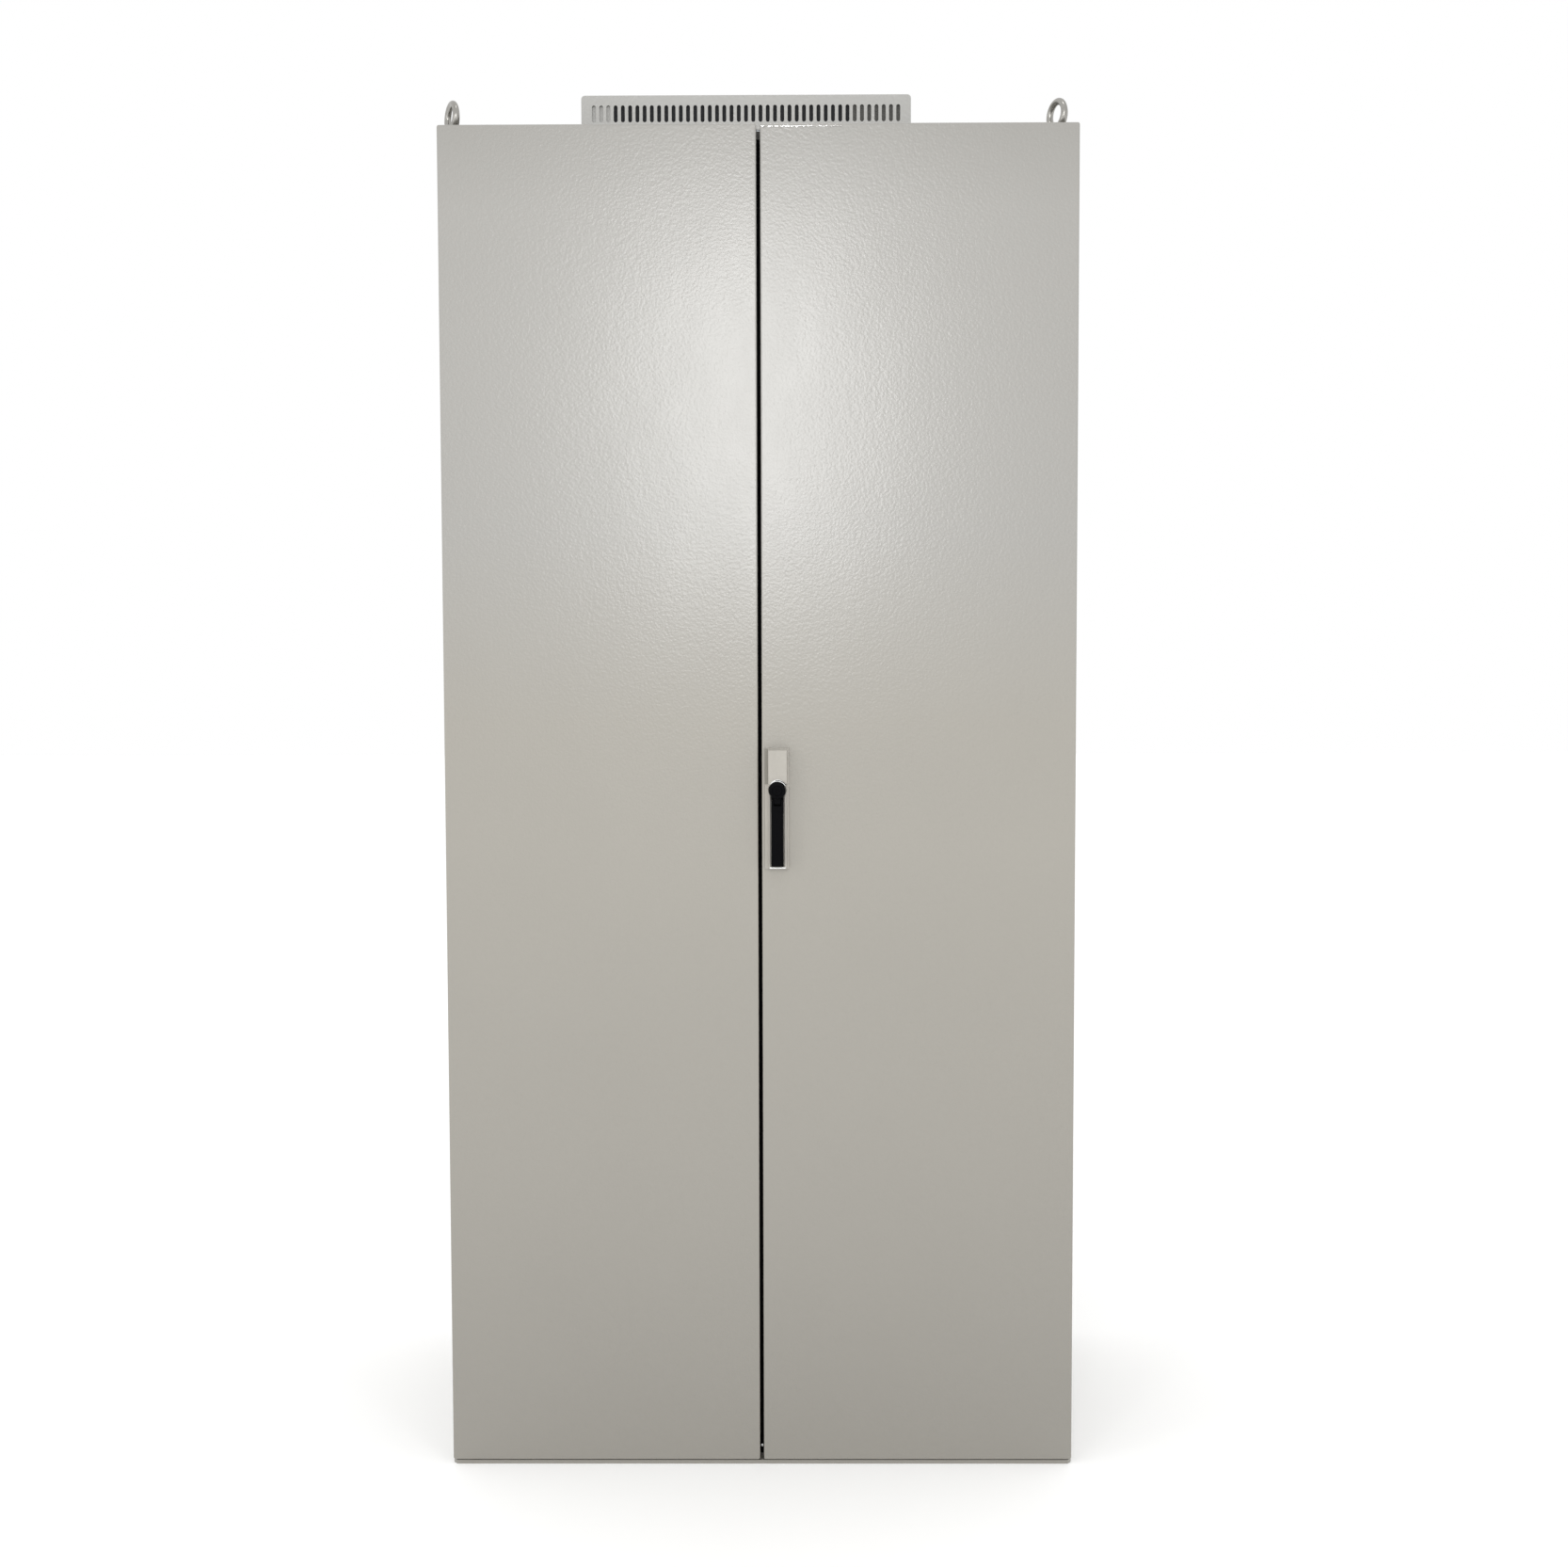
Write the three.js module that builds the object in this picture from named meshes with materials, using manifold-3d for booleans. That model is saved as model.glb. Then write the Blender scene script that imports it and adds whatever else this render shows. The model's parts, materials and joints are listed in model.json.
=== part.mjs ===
// Floor-standing variable frequency drive: a two-door sheet-steel cabinet with a slotted roof hood,
// two exhaust fans, four lifting eye bolts, a swing handle with lock rods, and the drive's own parts.
// Millimetres, +Z up, doors facing -Y. The origin is on the floor under the middle of the whole object.

import * as THREE from 'three';
import { mergeVertices } from 'three/addons/utils/BufferGeometryUtils.js';
import Module from 'manifold-3d';

const wasm = await Module();
wasm.setup();

// Cabinet body
const WIDTH = 1000;
const DEPTH = 600; // door fronts to the back of the rear panel
const BODY_HEIGHT = 2130;
const HANDLE_PROUD = 26; // how far the handle stands in front of the doors
const SHEET = 2;
const GAP = 0.3; // between pieces that touch
const HALF = WIDTH / 2;
const DOOR_FRONT = HANDLE_PROUD / 2 - DEPTH / 2;
const REAR = DOOR_FRONT + DEPTH;

// Doors
const DOOR_DEPTH = 25;
const DOOR_GAP = 6; // between the two doors
const DOOR_BOTTOM = 7.5;
const DOOR_TOP = BODY_HEIGHT;
const DOOR_LIP = 8; // inward fold at the back of the door's rim
const DOOR_BACK = DOOR_FRONT + DOOR_DEPTH;
const HINGE_INSET = 8; // hinge axis behind the door's front and inside its outer edge
const HINGE_X = HALF - HINGE_INSET;
const HINGE_Y = DOOR_FRONT + HINGE_INSET;
const HINGE_HEIGHTS = [250, 1065, 1880];
const KNUCKLE_HALF = 10; // half the height of a fixed hinge knuckle
const PIN_RADIUS = 3;

// Frame
const FRAME_WALL = 3;
const FRAME_X = HALF - SHEET - 0.5;
const FRAME_FRONT = DOOR_BACK + 4;
const FRAME_REAR = REAR - SHEET - 0.5;
const FLANGE = 40;
const LIP_HEIGHT = 6; // base edge that shows under the doors
const LIP_FRONT = DOOR_FRONT + 2;
const RAIL_TOP = 70;
const ROOF_RIM = 5;
const ROOF_FRONT = DOOR_BACK + 2.3; // clear of the doors' hinge edges as they swing
const ROOF_RAIL_BOTTOM = BODY_HEIGHT - RAIL_TOP;
const ROOF_RAIL_TOP = BODY_HEIGHT - SHEET - GAP;
const POST_LEG = 47.5;
const CENTER_POST_HALF = 58;

// Roof hood and fans
const HOOD_HEIGHT = 75.5;
const HOOD_WIDTH = 530;
const HOOD_DEPTH = 400;
const HOOD_X = -21;
const HOOD_FRONT = DOOR_FRONT + 100;
const HOOD_CORNER = 6;
const SLOT_COUNT = 43;
const SLOT_PITCH = 11.65;
const SLOT_WIDTH = 6.2;
const SLOT_BOTTOM = 33;
const SLOT_TOP = 60;
const ROOF_FAN_SIZE = 200;
const ROOF_FAN_OFFSET = 125;
const ROOF_FAN_BORE = 92;
const ROOF_FAN_DEPTH = 50;
const ROOF_FAN_Y = HOOD_FRONT + HOOD_DEPTH / 2;

// Lifting eye bolts, M12
const EYE_OUTER = 52;
const EYE_INNER = 30;
const EYE_HEIGHT = 51;
const EYE_LEFT_X = -HALF + 15.5;
const EYE_RIGHT_X = HALF - 29;
const EYE_FRONT_Y = DOOR_FRONT + 48;
const EYE_REAR_Y = REAR - 30;

// Door frame, gasket and lock, measured across the door from the hinge axis or from the center line
const GASKET_WIDTH = 12;
const GASKET_HINGE_SIDE = 30;
const GASKET_CENTER_SIDE = 44;
const GASKET_BOTTOM = 40;
const GASKET_TOP = BODY_HEIGHT - 40;
const FRAME_MEMBER = 18;
const DOOR_FRAME_BACK = DOOR_BACK - 4;
const HANDLE_X = 27.5;
const HANDLE_Z = 1093;
const ROD_BACK = 15; // back of the lock rods behind the door's front
const ROD_THICKNESS = 4;
const ROD_HALF_WIDTH = 5;
const PINION_RADIUS = 6.6;
const KEEPER_HEIGHTS = [26, BODY_HEIGHT - 36];
const ROD_GUIDE_HEIGHTS = [300, 700, 1450, 1850];

// Mounting plate and what hangs on it
const PLATE_FRONT = 180;
const PLATE_THICKNESS = 3;
const DRIVE_X = -140;
const DRIVE_BOTTOM = 900;
const DRIVE_WIDTH = 460;
const DRIVE_HEIGHT = 950;
const DRIVE_DEPTH = 290;
const DRIVE_WALL = 3;
const COVER_DEPTH = 60;
const SWITCHGEAR_X = 280;

const FINISHES = {
  paint: { color: 0xb9b7b1, roughness: 0.5, metalness: 0 },
  blackPaint: { color: 0x101112, roughness: 0.6, metalness: 0 },
  hoodPaint: { color: 0xc1c0bc, roughness: 0.5, metalness: 0 },
  galvanised: { color: 0xa9adb0, roughness: 0.45, metalness: 0.9 },
  zinc: { color: 0xc9cbcc, roughness: 0.3, metalness: 0.95 },
  creamPlastic: { color: 0xb8b5ac, roughness: 0.5, metalness: 0 },
  blackPlastic: { color: 0x15161a, roughness: 0.35, metalness: 0 },
  greyPlastic: { color: 0x5c6064, roughness: 0.55, metalness: 0 },
  foam: { color: 0x1f2022, roughness: 0.95, metalness: 0 },
  aluminium: { color: 0xb4b7b9, roughness: 0.35, metalness: 0.9 },
  copper: { color: 0xb4673a, roughness: 0.35, metalness: 0.95 },
  laminations: { color: 0x4c4f54, roughness: 0.6, metalness: 0.6 },
  green: { color: 0x2f7d4a, roughness: 0.45, metalness: 0 },
  red: { color: 0xa3281f, roughness: 0.45, metalness: 0 },
};

function finish(name) {
  return new THREE.MeshStandardMaterial(FINISHES[name]);
}

// Geometry helpers

// A box between two opposite corners, given in any order.
function block([x0, y0, z0], [x1, y1, z1]) {
  const box = new THREE.BoxGeometry(Math.abs(x1 - x0), Math.abs(y1 - y0), Math.abs(z1 - z0));
  return box.translate((x0 + x1) / 2, (y0 + y1) / 2, (z0 + z1) / 2);
}

// A box centered on X and Z, from one Y to another.
function slab(width, height, front, back) {
  return block([-width / 2, front, -height / 2], [width / 2, back, height / 2]);
}

function cylinder(axis, radius, from, to, sides = 16) {
  const shape = new THREE.CylinderGeometry(radius, radius, Math.abs(to - from), sides);
  shape.translate(0, (from + to) / 2, 0);
  if (axis === 'x') shape.rotateZ(-Math.PI / 2);
  if (axis === 'z') shape.rotateX(Math.PI / 2);
  return shape;
}

function polygon(points) {
  return new THREE.Shape(points.map(([a, b]) => new THREE.Vector2(a, b)));
}

function upright(shape, from, to, curveSegments = 4) {
  const solid = new THREE.ExtrudeGeometry(shape, { depth: to - from, bevelEnabled: false, curveSegments });
  return solid.translate(0, 0, from);
}

// An outline drawn in X and Z, as seen from the front, and extruded from one Y to another.
function frontal(shape, from, to, curveSegments = 4) {
  const solid = new THREE.ExtrudeGeometry(shape, { depth: to - from, bevelEnabled: false, curveSegments });
  return solid.rotateX(Math.PI / 2).translate(0, to, 0);
}

// An outline drawn in Y and Z, as seen from the right, and extruded from one X to another.
function sideways(shape, from, to) {
  const solid = new THREE.ExtrudeGeometry(shape, { depth: to - from, bevelEnabled: false });
  const turn = new THREE.Matrix4().makeBasis(
    new THREE.Vector3(0, 1, 0), new THREE.Vector3(0, 0, 1), new THREE.Vector3(1, 0, 0),
  );
  return solid.applyMatrix4(turn).translate(from, 0, 0);
}

function toSolid(geometry) {
  const bare = geometry.clone();
  bare.deleteAttribute('normal');
  bare.deleteAttribute('uv');
  const merged = mergeVertices(bare, 1e-4);
  const vertProperties = new Float32Array(merged.attributes.position.array);
  const triVerts = new Uint32Array(merged.index.array);
  return new wasm.Manifold(new wasm.Mesh({ numProp: 3, vertProperties, triVerts }));
}

function toGeometry(solid) {
  const { vertProperties, triVerts } = solid.getMesh();
  const geometry = new THREE.BufferGeometry();
  geometry.setAttribute('position', new THREE.BufferAttribute(vertProperties, 3));
  geometry.setIndex(new THREE.BufferAttribute(triVerts, 1));
  return geometry;
}

function join(...pieces) {
  return toGeometry(pieces.map(toSolid).reduce((whole, piece) => whole.add(piece)));
}

function cut(body, ...tools) {
  return toGeometry(tools.map(toSolid).reduce((left, tool) => left.subtract(tool), toSolid(body)));
}

function add(parent, name, geometry, finishName, position = [0, 0, 0]) {
  const mesh = new THREE.Mesh(geometry, finish(finishName));
  mesh.name = name;
  mesh.position.set(...position);
  parent.add(mesh);
  return mesh;
}

function groupAt(parent, position) {
  const group = new THREE.Group();
  group.position.set(...position);
  parent.add(group);
  return group;
}

// Frame and skins

function chamferedPlate(halfWidth, front, rear, corner) {
  return polygon([
    [-halfWidth + corner, front], [halfWidth - corner, front], [halfWidth, front + corner],
    [halfWidth, rear - corner], [halfWidth - corner, rear], [-halfWidth + corner, rear],
    [-halfWidth, rear - corner], [-halfWidth, front + corner],
  ]);
}

function frameWindow(bottom, top) {
  const side = FRAME_X - FLANGE;
  return block([-side, FRAME_FRONT + FLANGE, bottom], [side, FRAME_REAR - FLANGE, top]);
}

function frameTrough(bottom, top) {
  const side = FRAME_X - FRAME_WALL;
  return block([-side, FRAME_FRONT + FRAME_WALL, bottom], [side, FRAME_REAR - FRAME_WALL, top]);
}

function baseFrame() {
  const cornerChamfer = 6;
  const lip = upright(chamferedPlate(HALF, LIP_FRONT, REAR, cornerChamfer), 0, LIP_HEIGHT);
  const ring = block([-FRAME_X, FRAME_FRONT, LIP_HEIGHT - 1], [FRAME_X, FRAME_REAR, RAIL_TOP]);
  const trough = frameTrough(LIP_HEIGHT, RAIL_TOP + 1);
  return cut(join(lip, ring), trough, frameWindow(-1, LIP_HEIGHT + 1));
}

function eyeBoltPlaces() {
  return [EYE_FRONT_Y, EYE_REAR_Y].flatMap((y) => [[EYE_LEFT_X, y], [EYE_RIGHT_X, y]]);
}

function roofFrame() {
  const ring = block([-FRAME_X, FRAME_FRONT, ROOF_RAIL_BOTTOM], [FRAME_X, FRAME_REAR, ROOF_RAIL_TOP]);
  const flangeBottom = ROOF_RAIL_TOP - FRAME_WALL;
  const hollow = cut(ring, frameTrough(ROOF_RAIL_BOTTOM - 1, flangeBottom),
    frameWindow(flangeBottom - 1, ROOF_RAIL_TOP + 1));
  const nutHeight = 12;
  const nutRadius = 10;
  const threadRadius = 6.4;
  const weldNuts = eyeBoltPlaces().map(([x, y]) => (
    cylinder('z', nutRadius, flangeBottom - nutHeight, flangeBottom + 1, 6).translate(x, y, 0)));
  const threads = eyeBoltPlaces().map(([x, y]) => (
    cylinder('z', threadRadius, flangeBottom - nutHeight - 1, ROOF_RAIL_TOP + 1, 8).translate(x, y, 0)));
  return cut(join(hollow, ...weldNuts), ...threads);
}

function roofFanX(side) {
  return HOOD_X + side * ROOF_FAN_OFFSET;
}

function roofPlate() {
  const rimBottom = BODY_HEIGHT - ROOF_RIM;
  const sheet = block([-HALF, ROOF_FRONT, rimBottom], [HALF, REAR, BODY_HEIGHT]);
  const inside = block([-HALF + SHEET, ROOF_FRONT - 1, rimBottom - 1],
    [HALF - SHEET, REAR - SHEET, BODY_HEIGHT - SHEET]);
  const fanHoles = [-1, 1].map((side) => (
    cylinder('z', ROOF_FAN_BORE, rimBottom, BODY_HEIGHT + 1, 24).translate(roofFanX(side), ROOF_FAN_Y, 0)));
  const boltHoleRadius = 7;
  const boltHoles = eyeBoltPlaces().map(([x, y]) => (
    cylinder('z', boltHoleRadius, rimBottom, BODY_HEIGHT + 1, 8).translate(x, y, 0)));
  return cut(sheet, inside, ...fanHoles, ...boltHoles);
}

// An angle section whose outer corner is at its own origin; the legs run to -side in X and -end in Y.
function cornerPost(side, end) {
  const angle = polygon([
    [0, 0], [-side * POST_LEG, 0], [-side * POST_LEG, -end * FRAME_WALL],
    [-side * FRAME_WALL, -end * FRAME_WALL], [-side * FRAME_WALL, -end * POST_LEG], [0, -end * POST_LEG],
  ]);
  return upright(angle, RAIL_TOP + GAP, ROOF_RAIL_BOTTOM - GAP);
}

function sidePanel() {
  return block([0, FRAME_FRONT + 2, LIP_HEIGHT + GAP],
    [SHEET, REAR, BODY_HEIGHT - ROOF_RIM - GAP]);
}

function rearPanel() {
  const side = HALF - SHEET - GAP;
  return block([-side, REAR - SHEET, LIP_HEIGHT + GAP], [side, REAR, BODY_HEIGHT - ROOF_RIM - GAP]);
}

function glandPlate() {
  const side = FRAME_X - FLANGE + 10;
  const front = FRAME_FRONT + FLANGE / 2;
  const bottom = LIP_HEIGHT + GAP;
  const top = bottom + SHEET;
  const entryRadius = 25;
  const entryPitch = 90;
  const entryY = 60;
  const plate = block([-side, front, bottom], [side, PLATE_FRONT - 10, top]);
  const entries = [-1.5, -0.5, 0.5, 1.5].map((step) => (
    cylinder('z', entryRadius, bottom - 1, top + 1, 12).translate(step * entryPitch, entryY, 0)));
  return cut(plate, ...entries);
}

// The plate stands on the base frame's flange on two feet and reaches up under the roof frame's flange.
function mountingPlate() {
  const side = FRAME_X - 5.5;
  const foot = FRAME_X - 24;
  const bottom = LIP_HEIGHT + GAP;
  const top = ROOF_RAIL_TOP - FRAME_WALL - GAP;
  const lowEdge = RAIL_TOP + 10;
  const highEdge = ROOF_RAIL_BOTTOM - 20;
  const outline = polygon([
    [-side, bottom], [-foot, bottom], [-foot, lowEdge], [foot, lowEdge], [foot, bottom], [side, bottom],
    [side, top], [foot, top], [foot, highEdge], [-foot, highEdge], [-foot, top], [-side, top],
  ]);
  return frontal(outline, PLATE_FRONT, PLATE_FRONT + PLATE_THICKNESS);
}

function centerPost() {
  const depth = 25;
  const half = CENTER_POST_HALF;
  const channel = polygon([
    [-half, 0], [half, 0], [half, depth], [half - SHEET, depth],
    [half - SHEET, SHEET], [-half + SHEET, SHEET], [-half + SHEET, depth], [-half, depth],
  ]);
  return upright(channel, RAIL_TOP + GAP, ROOF_RAIL_BOTTOM - GAP);
}

// A black plate on the frame behind the gap between the doors, with a hook over the lock rod's end.
function keeper(outward) {
  const towardEnd = outward * 18;
  const towardMiddle = -outward * 52;
  const thickness = 3.2;
  const reach = 19;
  const rodClearance = 2;
  const base = block([-20, -thickness, Math.min(towardEnd, towardMiddle)],
    [42, 0, Math.max(towardEnd, towardMiddle)]);
  const hook = block([HANDLE_X - 11, -reach, outward * rodClearance],
    [HANDLE_X + 12, -1, outward * (rodClearance + 6)]);
  return join(base, hook);
}

function addFrame(model) {
  add(model, 'base_frame', baseFrame(), 'paint');
  add(model, 'gland_plate', glandPlate(), 'galvanised');
  add(model, 'roof_frame', roofFrame(), 'galvanised');
  add(model, 'roof_plate', roofPlate(), 'paint');
  for (const [end, endName, y] of [[-1, 'front', FRAME_FRONT], [1, 'rear', FRAME_REAR]]) {
    add(model, `${endName}_left_post`, cornerPost(-1, end), 'galvanised', [-FRAME_X, y, 0]);
    add(model, `${endName}_right_post`, cornerPost(1, end), 'galvanised', [FRAME_X, y, 0]);
  }
  add(model, 'left_side_panel', sidePanel(), 'paint', [-HALF, 0, 0]);
  add(model, 'right_side_panel', sidePanel(), 'paint', [HALF - SHEET, 0, 0]);
  add(model, 'rear_panel', rearPanel(), 'paint');
  add(model, 'mounting_plate', mountingPlate(), 'galvanised');
  add(model, 'center_post', centerPost(), 'blackPaint', [0, FRAME_FRONT, 0]);
  const keeperBack = FRAME_FRONT - GAP;
  add(model, 'lower_keeper', keeper(-1), 'blackPaint', [0, keeperBack, KEEPER_HEIGHTS[0]]);
  add(model, 'upper_keeper', keeper(1), 'blackPaint', [0, keeperBack, KEEPER_HEIGHTS[1]]);
}

// Roof: hood, fans and lifting eyes

// The hood's section seen from the front, centered in X, with its two top corners rounded.
function hoodOutline(inset) {
  const side = HOOD_WIDTH / 2 - inset;
  const top = HOOD_HEIGHT - inset;
  const corner = HOOD_CORNER - inset;
  const outline = new THREE.Shape();
  outline.moveTo(side, 0);
  outline.lineTo(side, top - corner);
  outline.absarc(side - corner, top - corner, corner, 0, Math.PI / 2);
  outline.lineTo(-side + corner, top);
  outline.absarc(-side + corner, top - corner, corner, Math.PI / 2, Math.PI);
  outline.lineTo(-side, 0);
  return outline;
}

function slot(centerX) {
  const radius = SLOT_WIDTH / 2;
  const hole = new THREE.Path();
  hole.absarc(centerX, SLOT_BOTTOM + radius, radius, Math.PI, 2 * Math.PI);
  hole.absarc(centerX, SLOT_TOP - radius, radius, 0, Math.PI);
  hole.closePath();
  return hole;
}

function hoodGrille() {
  const plate = hoodOutline(0);
  for (let index = 0; index < SLOT_COUNT; index += 1) {
    plate.holes.push(slot((index - (SLOT_COUNT - 1) / 2) * SLOT_PITCH));
  }
  return frontal(plate, 0, SHEET, 1);
}

function hoodCover() {
  const length = HOOD_DEPTH - 2 * (SHEET + GAP);
  const outer = frontal(hoodOutline(0), 0, length);
  const inner = frontal(hoodOutline(SHEET), -1, length + 1);
  const below = block([-HOOD_WIDTH / 2 + SHEET, -1, -1], [HOOD_WIDTH / 2 - SHEET, length + 1, 1]);
  return cut(outer, inner, below);
}

// A square frame with a round bore, and a strut below that carries the motor.
function fanHousing(size, bore, depth, strutWidth) {
  const half = size / 2;
  const strutDepth = 5;
  const motorRadius = bore * 0.32;
  const shell = cut(block([-half, -half, 0], [half, half, depth]), cylinder('z', bore, -1, depth + 1, 24));
  const strut = block([-half + 2, -strutWidth / 2, 0], [half - 2, strutWidth / 2, strutDepth]);
  const motor = cylinder('z', motorRadius, 0, strutDepth + 1, 12);
  return join(shell, strut, motor);
}

function fanRotor(bore, from, to) {
  const hubRadius = bore * 0.36;
  const tipRadius = bore * 0.95;
  const rootRadius = hubRadius - 4;
  const chord = bore * 0.42;
  const pitchAngle = 0.6;
  const bladeCount = 7;
  const hub = cylinder('z', hubRadius, from, to, 14);
  const blades = Array.from({ length: bladeCount }, (_, index) => (
    new THREE.BoxGeometry(tipRadius - rootRadius, chord, 2)
      .rotateX(pitchAngle)
      .translate((rootRadius + tipRadius) / 2, 0, (from + to) / 2)
      .rotateZ((index / bladeCount) * 2 * Math.PI)));
  return join(hub, ...blades);
}

// Ring, collar and shank of a forged lifting eye, standing on its own origin; the ring's hole runs along X.
function eyeBolt() {
  const tube = (EYE_OUTER - EYE_INNER) / 4;
  const ringRadius = EYE_OUTER / 2 - tube;
  const ring = new THREE.TorusGeometry(ringRadius, tube, 8, 18)
    .rotateY(Math.PI / 2)
    .translate(0, 0, EYE_HEIGHT - EYE_OUTER / 2);
  const collarRadius = 12.5;
  const collarHeight = 8.5;
  const shankRadius = 5.7;
  const shankLength = 22;
  const collar = cylinder('z', collarRadius, 0, collarHeight, 12);
  const shank = cylinder('z', shankRadius, -shankLength, 1, 8);
  return join(ring, collar, shank);
}

function addRoof(model) {
  const hood = groupAt(model, [HOOD_X, HOOD_FRONT, BODY_HEIGHT + GAP]);
  add(hood, 'hood_front_grille', hoodGrille(), 'hoodPaint');
  add(hood, 'hood_cover', hoodCover(), 'hoodPaint', [0, SHEET + GAP, 0]);
  add(hood, 'hood_rear_grille', hoodGrille(), 'hoodPaint', [0, HOOD_DEPTH - SHEET, 0]);
  const fanBottom = ROOF_RAIL_TOP - ROOF_FAN_DEPTH;
  for (const [side, sideName] of [[-1, 'left'], [1, 'right']]) {
    const place = [roofFanX(side), ROOF_FAN_Y, fanBottom];
    const housing = fanHousing(ROOF_FAN_SIZE, ROOF_FAN_BORE, ROOF_FAN_DEPTH, 24);
    add(model, `${sideName}_roof_fan_housing`, housing, 'blackPlastic', place);
    add(model, `${sideName}_roof_fan_rotor`, fanRotor(ROOF_FAN_BORE, 8, 46), 'greyPlastic', place);
  }
  const names = ['front_left', 'front_right', 'rear_left', 'rear_right'];
  const turns = [0.52, 0.44, -0.35, -0.2]; // how far each ring stopped short of facing sideways
  eyeBoltPlaces().forEach(([x, y], index) => {
    const eye = add(model, `${names[index]}_eye_bolt`, eyeBolt(), 'zinc', [x, y, BODY_HEIGHT + GAP]);
    eye.rotation.z = turns[index];
  });
}

// Doors. A door is drawn around its hinge axis: `across` is the distance from the axis towards the
// middle of the cabinet, so that the same numbers make the left door (side -1) and the right (side 1).

const FREE_EDGE = HINGE_X - DOOR_GAP / 2;
const SKIN_BACK = SHEET - HINGE_INSET;
const PAN_BACK = DOOR_DEPTH - HINGE_INSET;

function doorBlock(side, [across0, y0, z0], [across1, y1, z1]) {
  return block([-side * across0, y0, z0], [-side * across1, y1, z1]);
}

function hingeNotch(side, height) {
  const reach = KNUCKLE_HALF + 2;
  return doorBlock(side, [-HINGE_INSET - 1, SKIN_BACK + 0.5, height - reach],
    [DOOR_LIP, PAN_BACK + 1, height + reach]);
}

// Front skin with four folded rims and a narrow inward lip behind them.
function doorPanel(side) {
  const outer = doorBlock(side, [-HINGE_INSET, -HINGE_INSET, DOOR_BOTTOM], [FREE_EDGE, PAN_BACK, DOOR_TOP]);
  const inside = doorBlock(side, [-HINGE_INSET + SHEET, SKIN_BACK, DOOR_BOTTOM + SHEET],
    [FREE_EDGE - SHEET, PAN_BACK - SHEET, DOOR_TOP - SHEET]);
  const mouth = doorBlock(side, [-HINGE_INSET + DOOR_LIP, 0, DOOR_BOTTOM + DOOR_LIP],
    [FREE_EDGE - DOOR_LIP, PAN_BACK + 1, DOOR_TOP - DOOR_LIP]);
  return cut(outer, inside, mouth, ...HINGE_HEIGHTS.map((height) => hingeNotch(side, height)));
}

function spindleHoleInDoor() {
  const radius = 7;
  const hole = cylinder('y', radius, -HINGE_INSET - 1, SKIN_BACK + 1, 12);
  return hole.translate(HANDLE_X - HINGE_X, 0, HANDLE_Z);
}

function doorGasket(side) {
  const near = GASKET_HINGE_SIDE;
  const far = HINGE_X - GASKET_CENTER_SIDE;
  const back = FRAME_FRONT - GAP - HINGE_Y;
  const front = DOOR_FRAME_BACK + GAP - HINGE_Y;
  const loop = doorBlock(side, [near, front, GASKET_BOTTOM], [far, back, GASKET_TOP]);
  const window = doorBlock(side, [near + GASKET_WIDTH, front - 1, GASKET_BOTTOM + GASKET_WIDTH],
    [far - GASKET_WIDTH, back + 1, GASKET_TOP - GASKET_WIDTH]);
  return cut(loop, window);
}

// The ladder of members behind a door's skin, with its outer edge and windows drawn `inset` further in.
function doorLadder(side, front, back, inset) {
  const near = GASKET_HINGE_SIDE - 3;
  const far = HINGE_X - GASKET_CENTER_SIDE + 3;
  const bottom = GASKET_BOTTOM - 3;
  const top = GASKET_TOP + 3;
  const windowCount = 4;
  const pitch = (top - bottom - FRAME_MEMBER) / windowCount;
  const plate = doorBlock(side, [near + inset, front, bottom + inset], [far - inset, back, top - inset]);
  const windows = Array.from({ length: windowCount }, (_, index) => doorBlock(side,
    [near + FRAME_MEMBER - inset, front - 1, bottom + FRAME_MEMBER + index * pitch - inset],
    [far - FRAME_MEMBER + inset, back + 1, bottom + (index + 1) * pitch + inset]));
  return cut(plate, ...windows);
}

// Two lugs on a plate behind the skin, with the fixed knuckle between them and the pin through all three.
function hingeLugs(side, height) {
  const eyeHalf = 5;
  const lugHeight = 11.5;
  const boreRadius = PIN_RADIUS + 0.6;
  const plateBack = SKIN_BACK + 3;
  const lugs = [-1, 1].map((end) => {
    const inner = height + end * (KNUCKLE_HALF + 0.5);
    const outer = inner + end * lugHeight;
    const eye = doorBlock(side, [-eyeHalf, -eyeHalf, inner], [eyeHalf, eyeHalf, outer]);
    const plate = doorBlock(side, [-eyeHalf, SKIN_BACK + GAP, inner], [GASKET_HINGE_SIDE, plateBack, outer]);
    const bore = cylinder('z', boreRadius, inner - end, outer + end, 8);
    return cut(join(eye, plate), bore);
  });
  return join(...lugs);
}

// A tab that reaches from the door frame around the lock rod.
function rodGuide(height) {
  const halfHeight = 4;
  const clearance = 0.6;
  const wall = 2.4;
  const side = ROD_HALF_WIDTH + clearance;
  const rodFront = ROD_BACK - ROD_THICKNESS - HINGE_INSET;
  const rodBack = ROD_BACK - HINGE_INSET;
  const tab = block([HANDLE_X - side - wall, SKIN_BACK + 0.5, height - halfHeight],
    [GASKET_CENTER_SIDE - 2, rodBack + clearance + wall, height + halfHeight]);
  const passage = block([HANDLE_X - side, rodFront - clearance, height - halfHeight - 1],
    [HANDLE_X + side, rodBack + clearance, height + halfHeight + 1]);
  return cut(tab, passage).translate(-HINGE_X, 0, 0);
}

function doorFrame(side) {
  const front = SKIN_BACK + GAP;
  const back = DOOR_FRAME_BACK - HINGE_Y;
  const channel = cut(doorLadder(side, front, back, 0), doorLadder(side, front - 1, back - SHEET, SHEET));
  const guides = side > 0 ? ROD_GUIDE_HEIGHTS.map(rodGuide) : [];
  return join(channel, ...HINGE_HEIGHTS.map((height) => hingeLugs(side, height)), ...guides);
}

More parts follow.
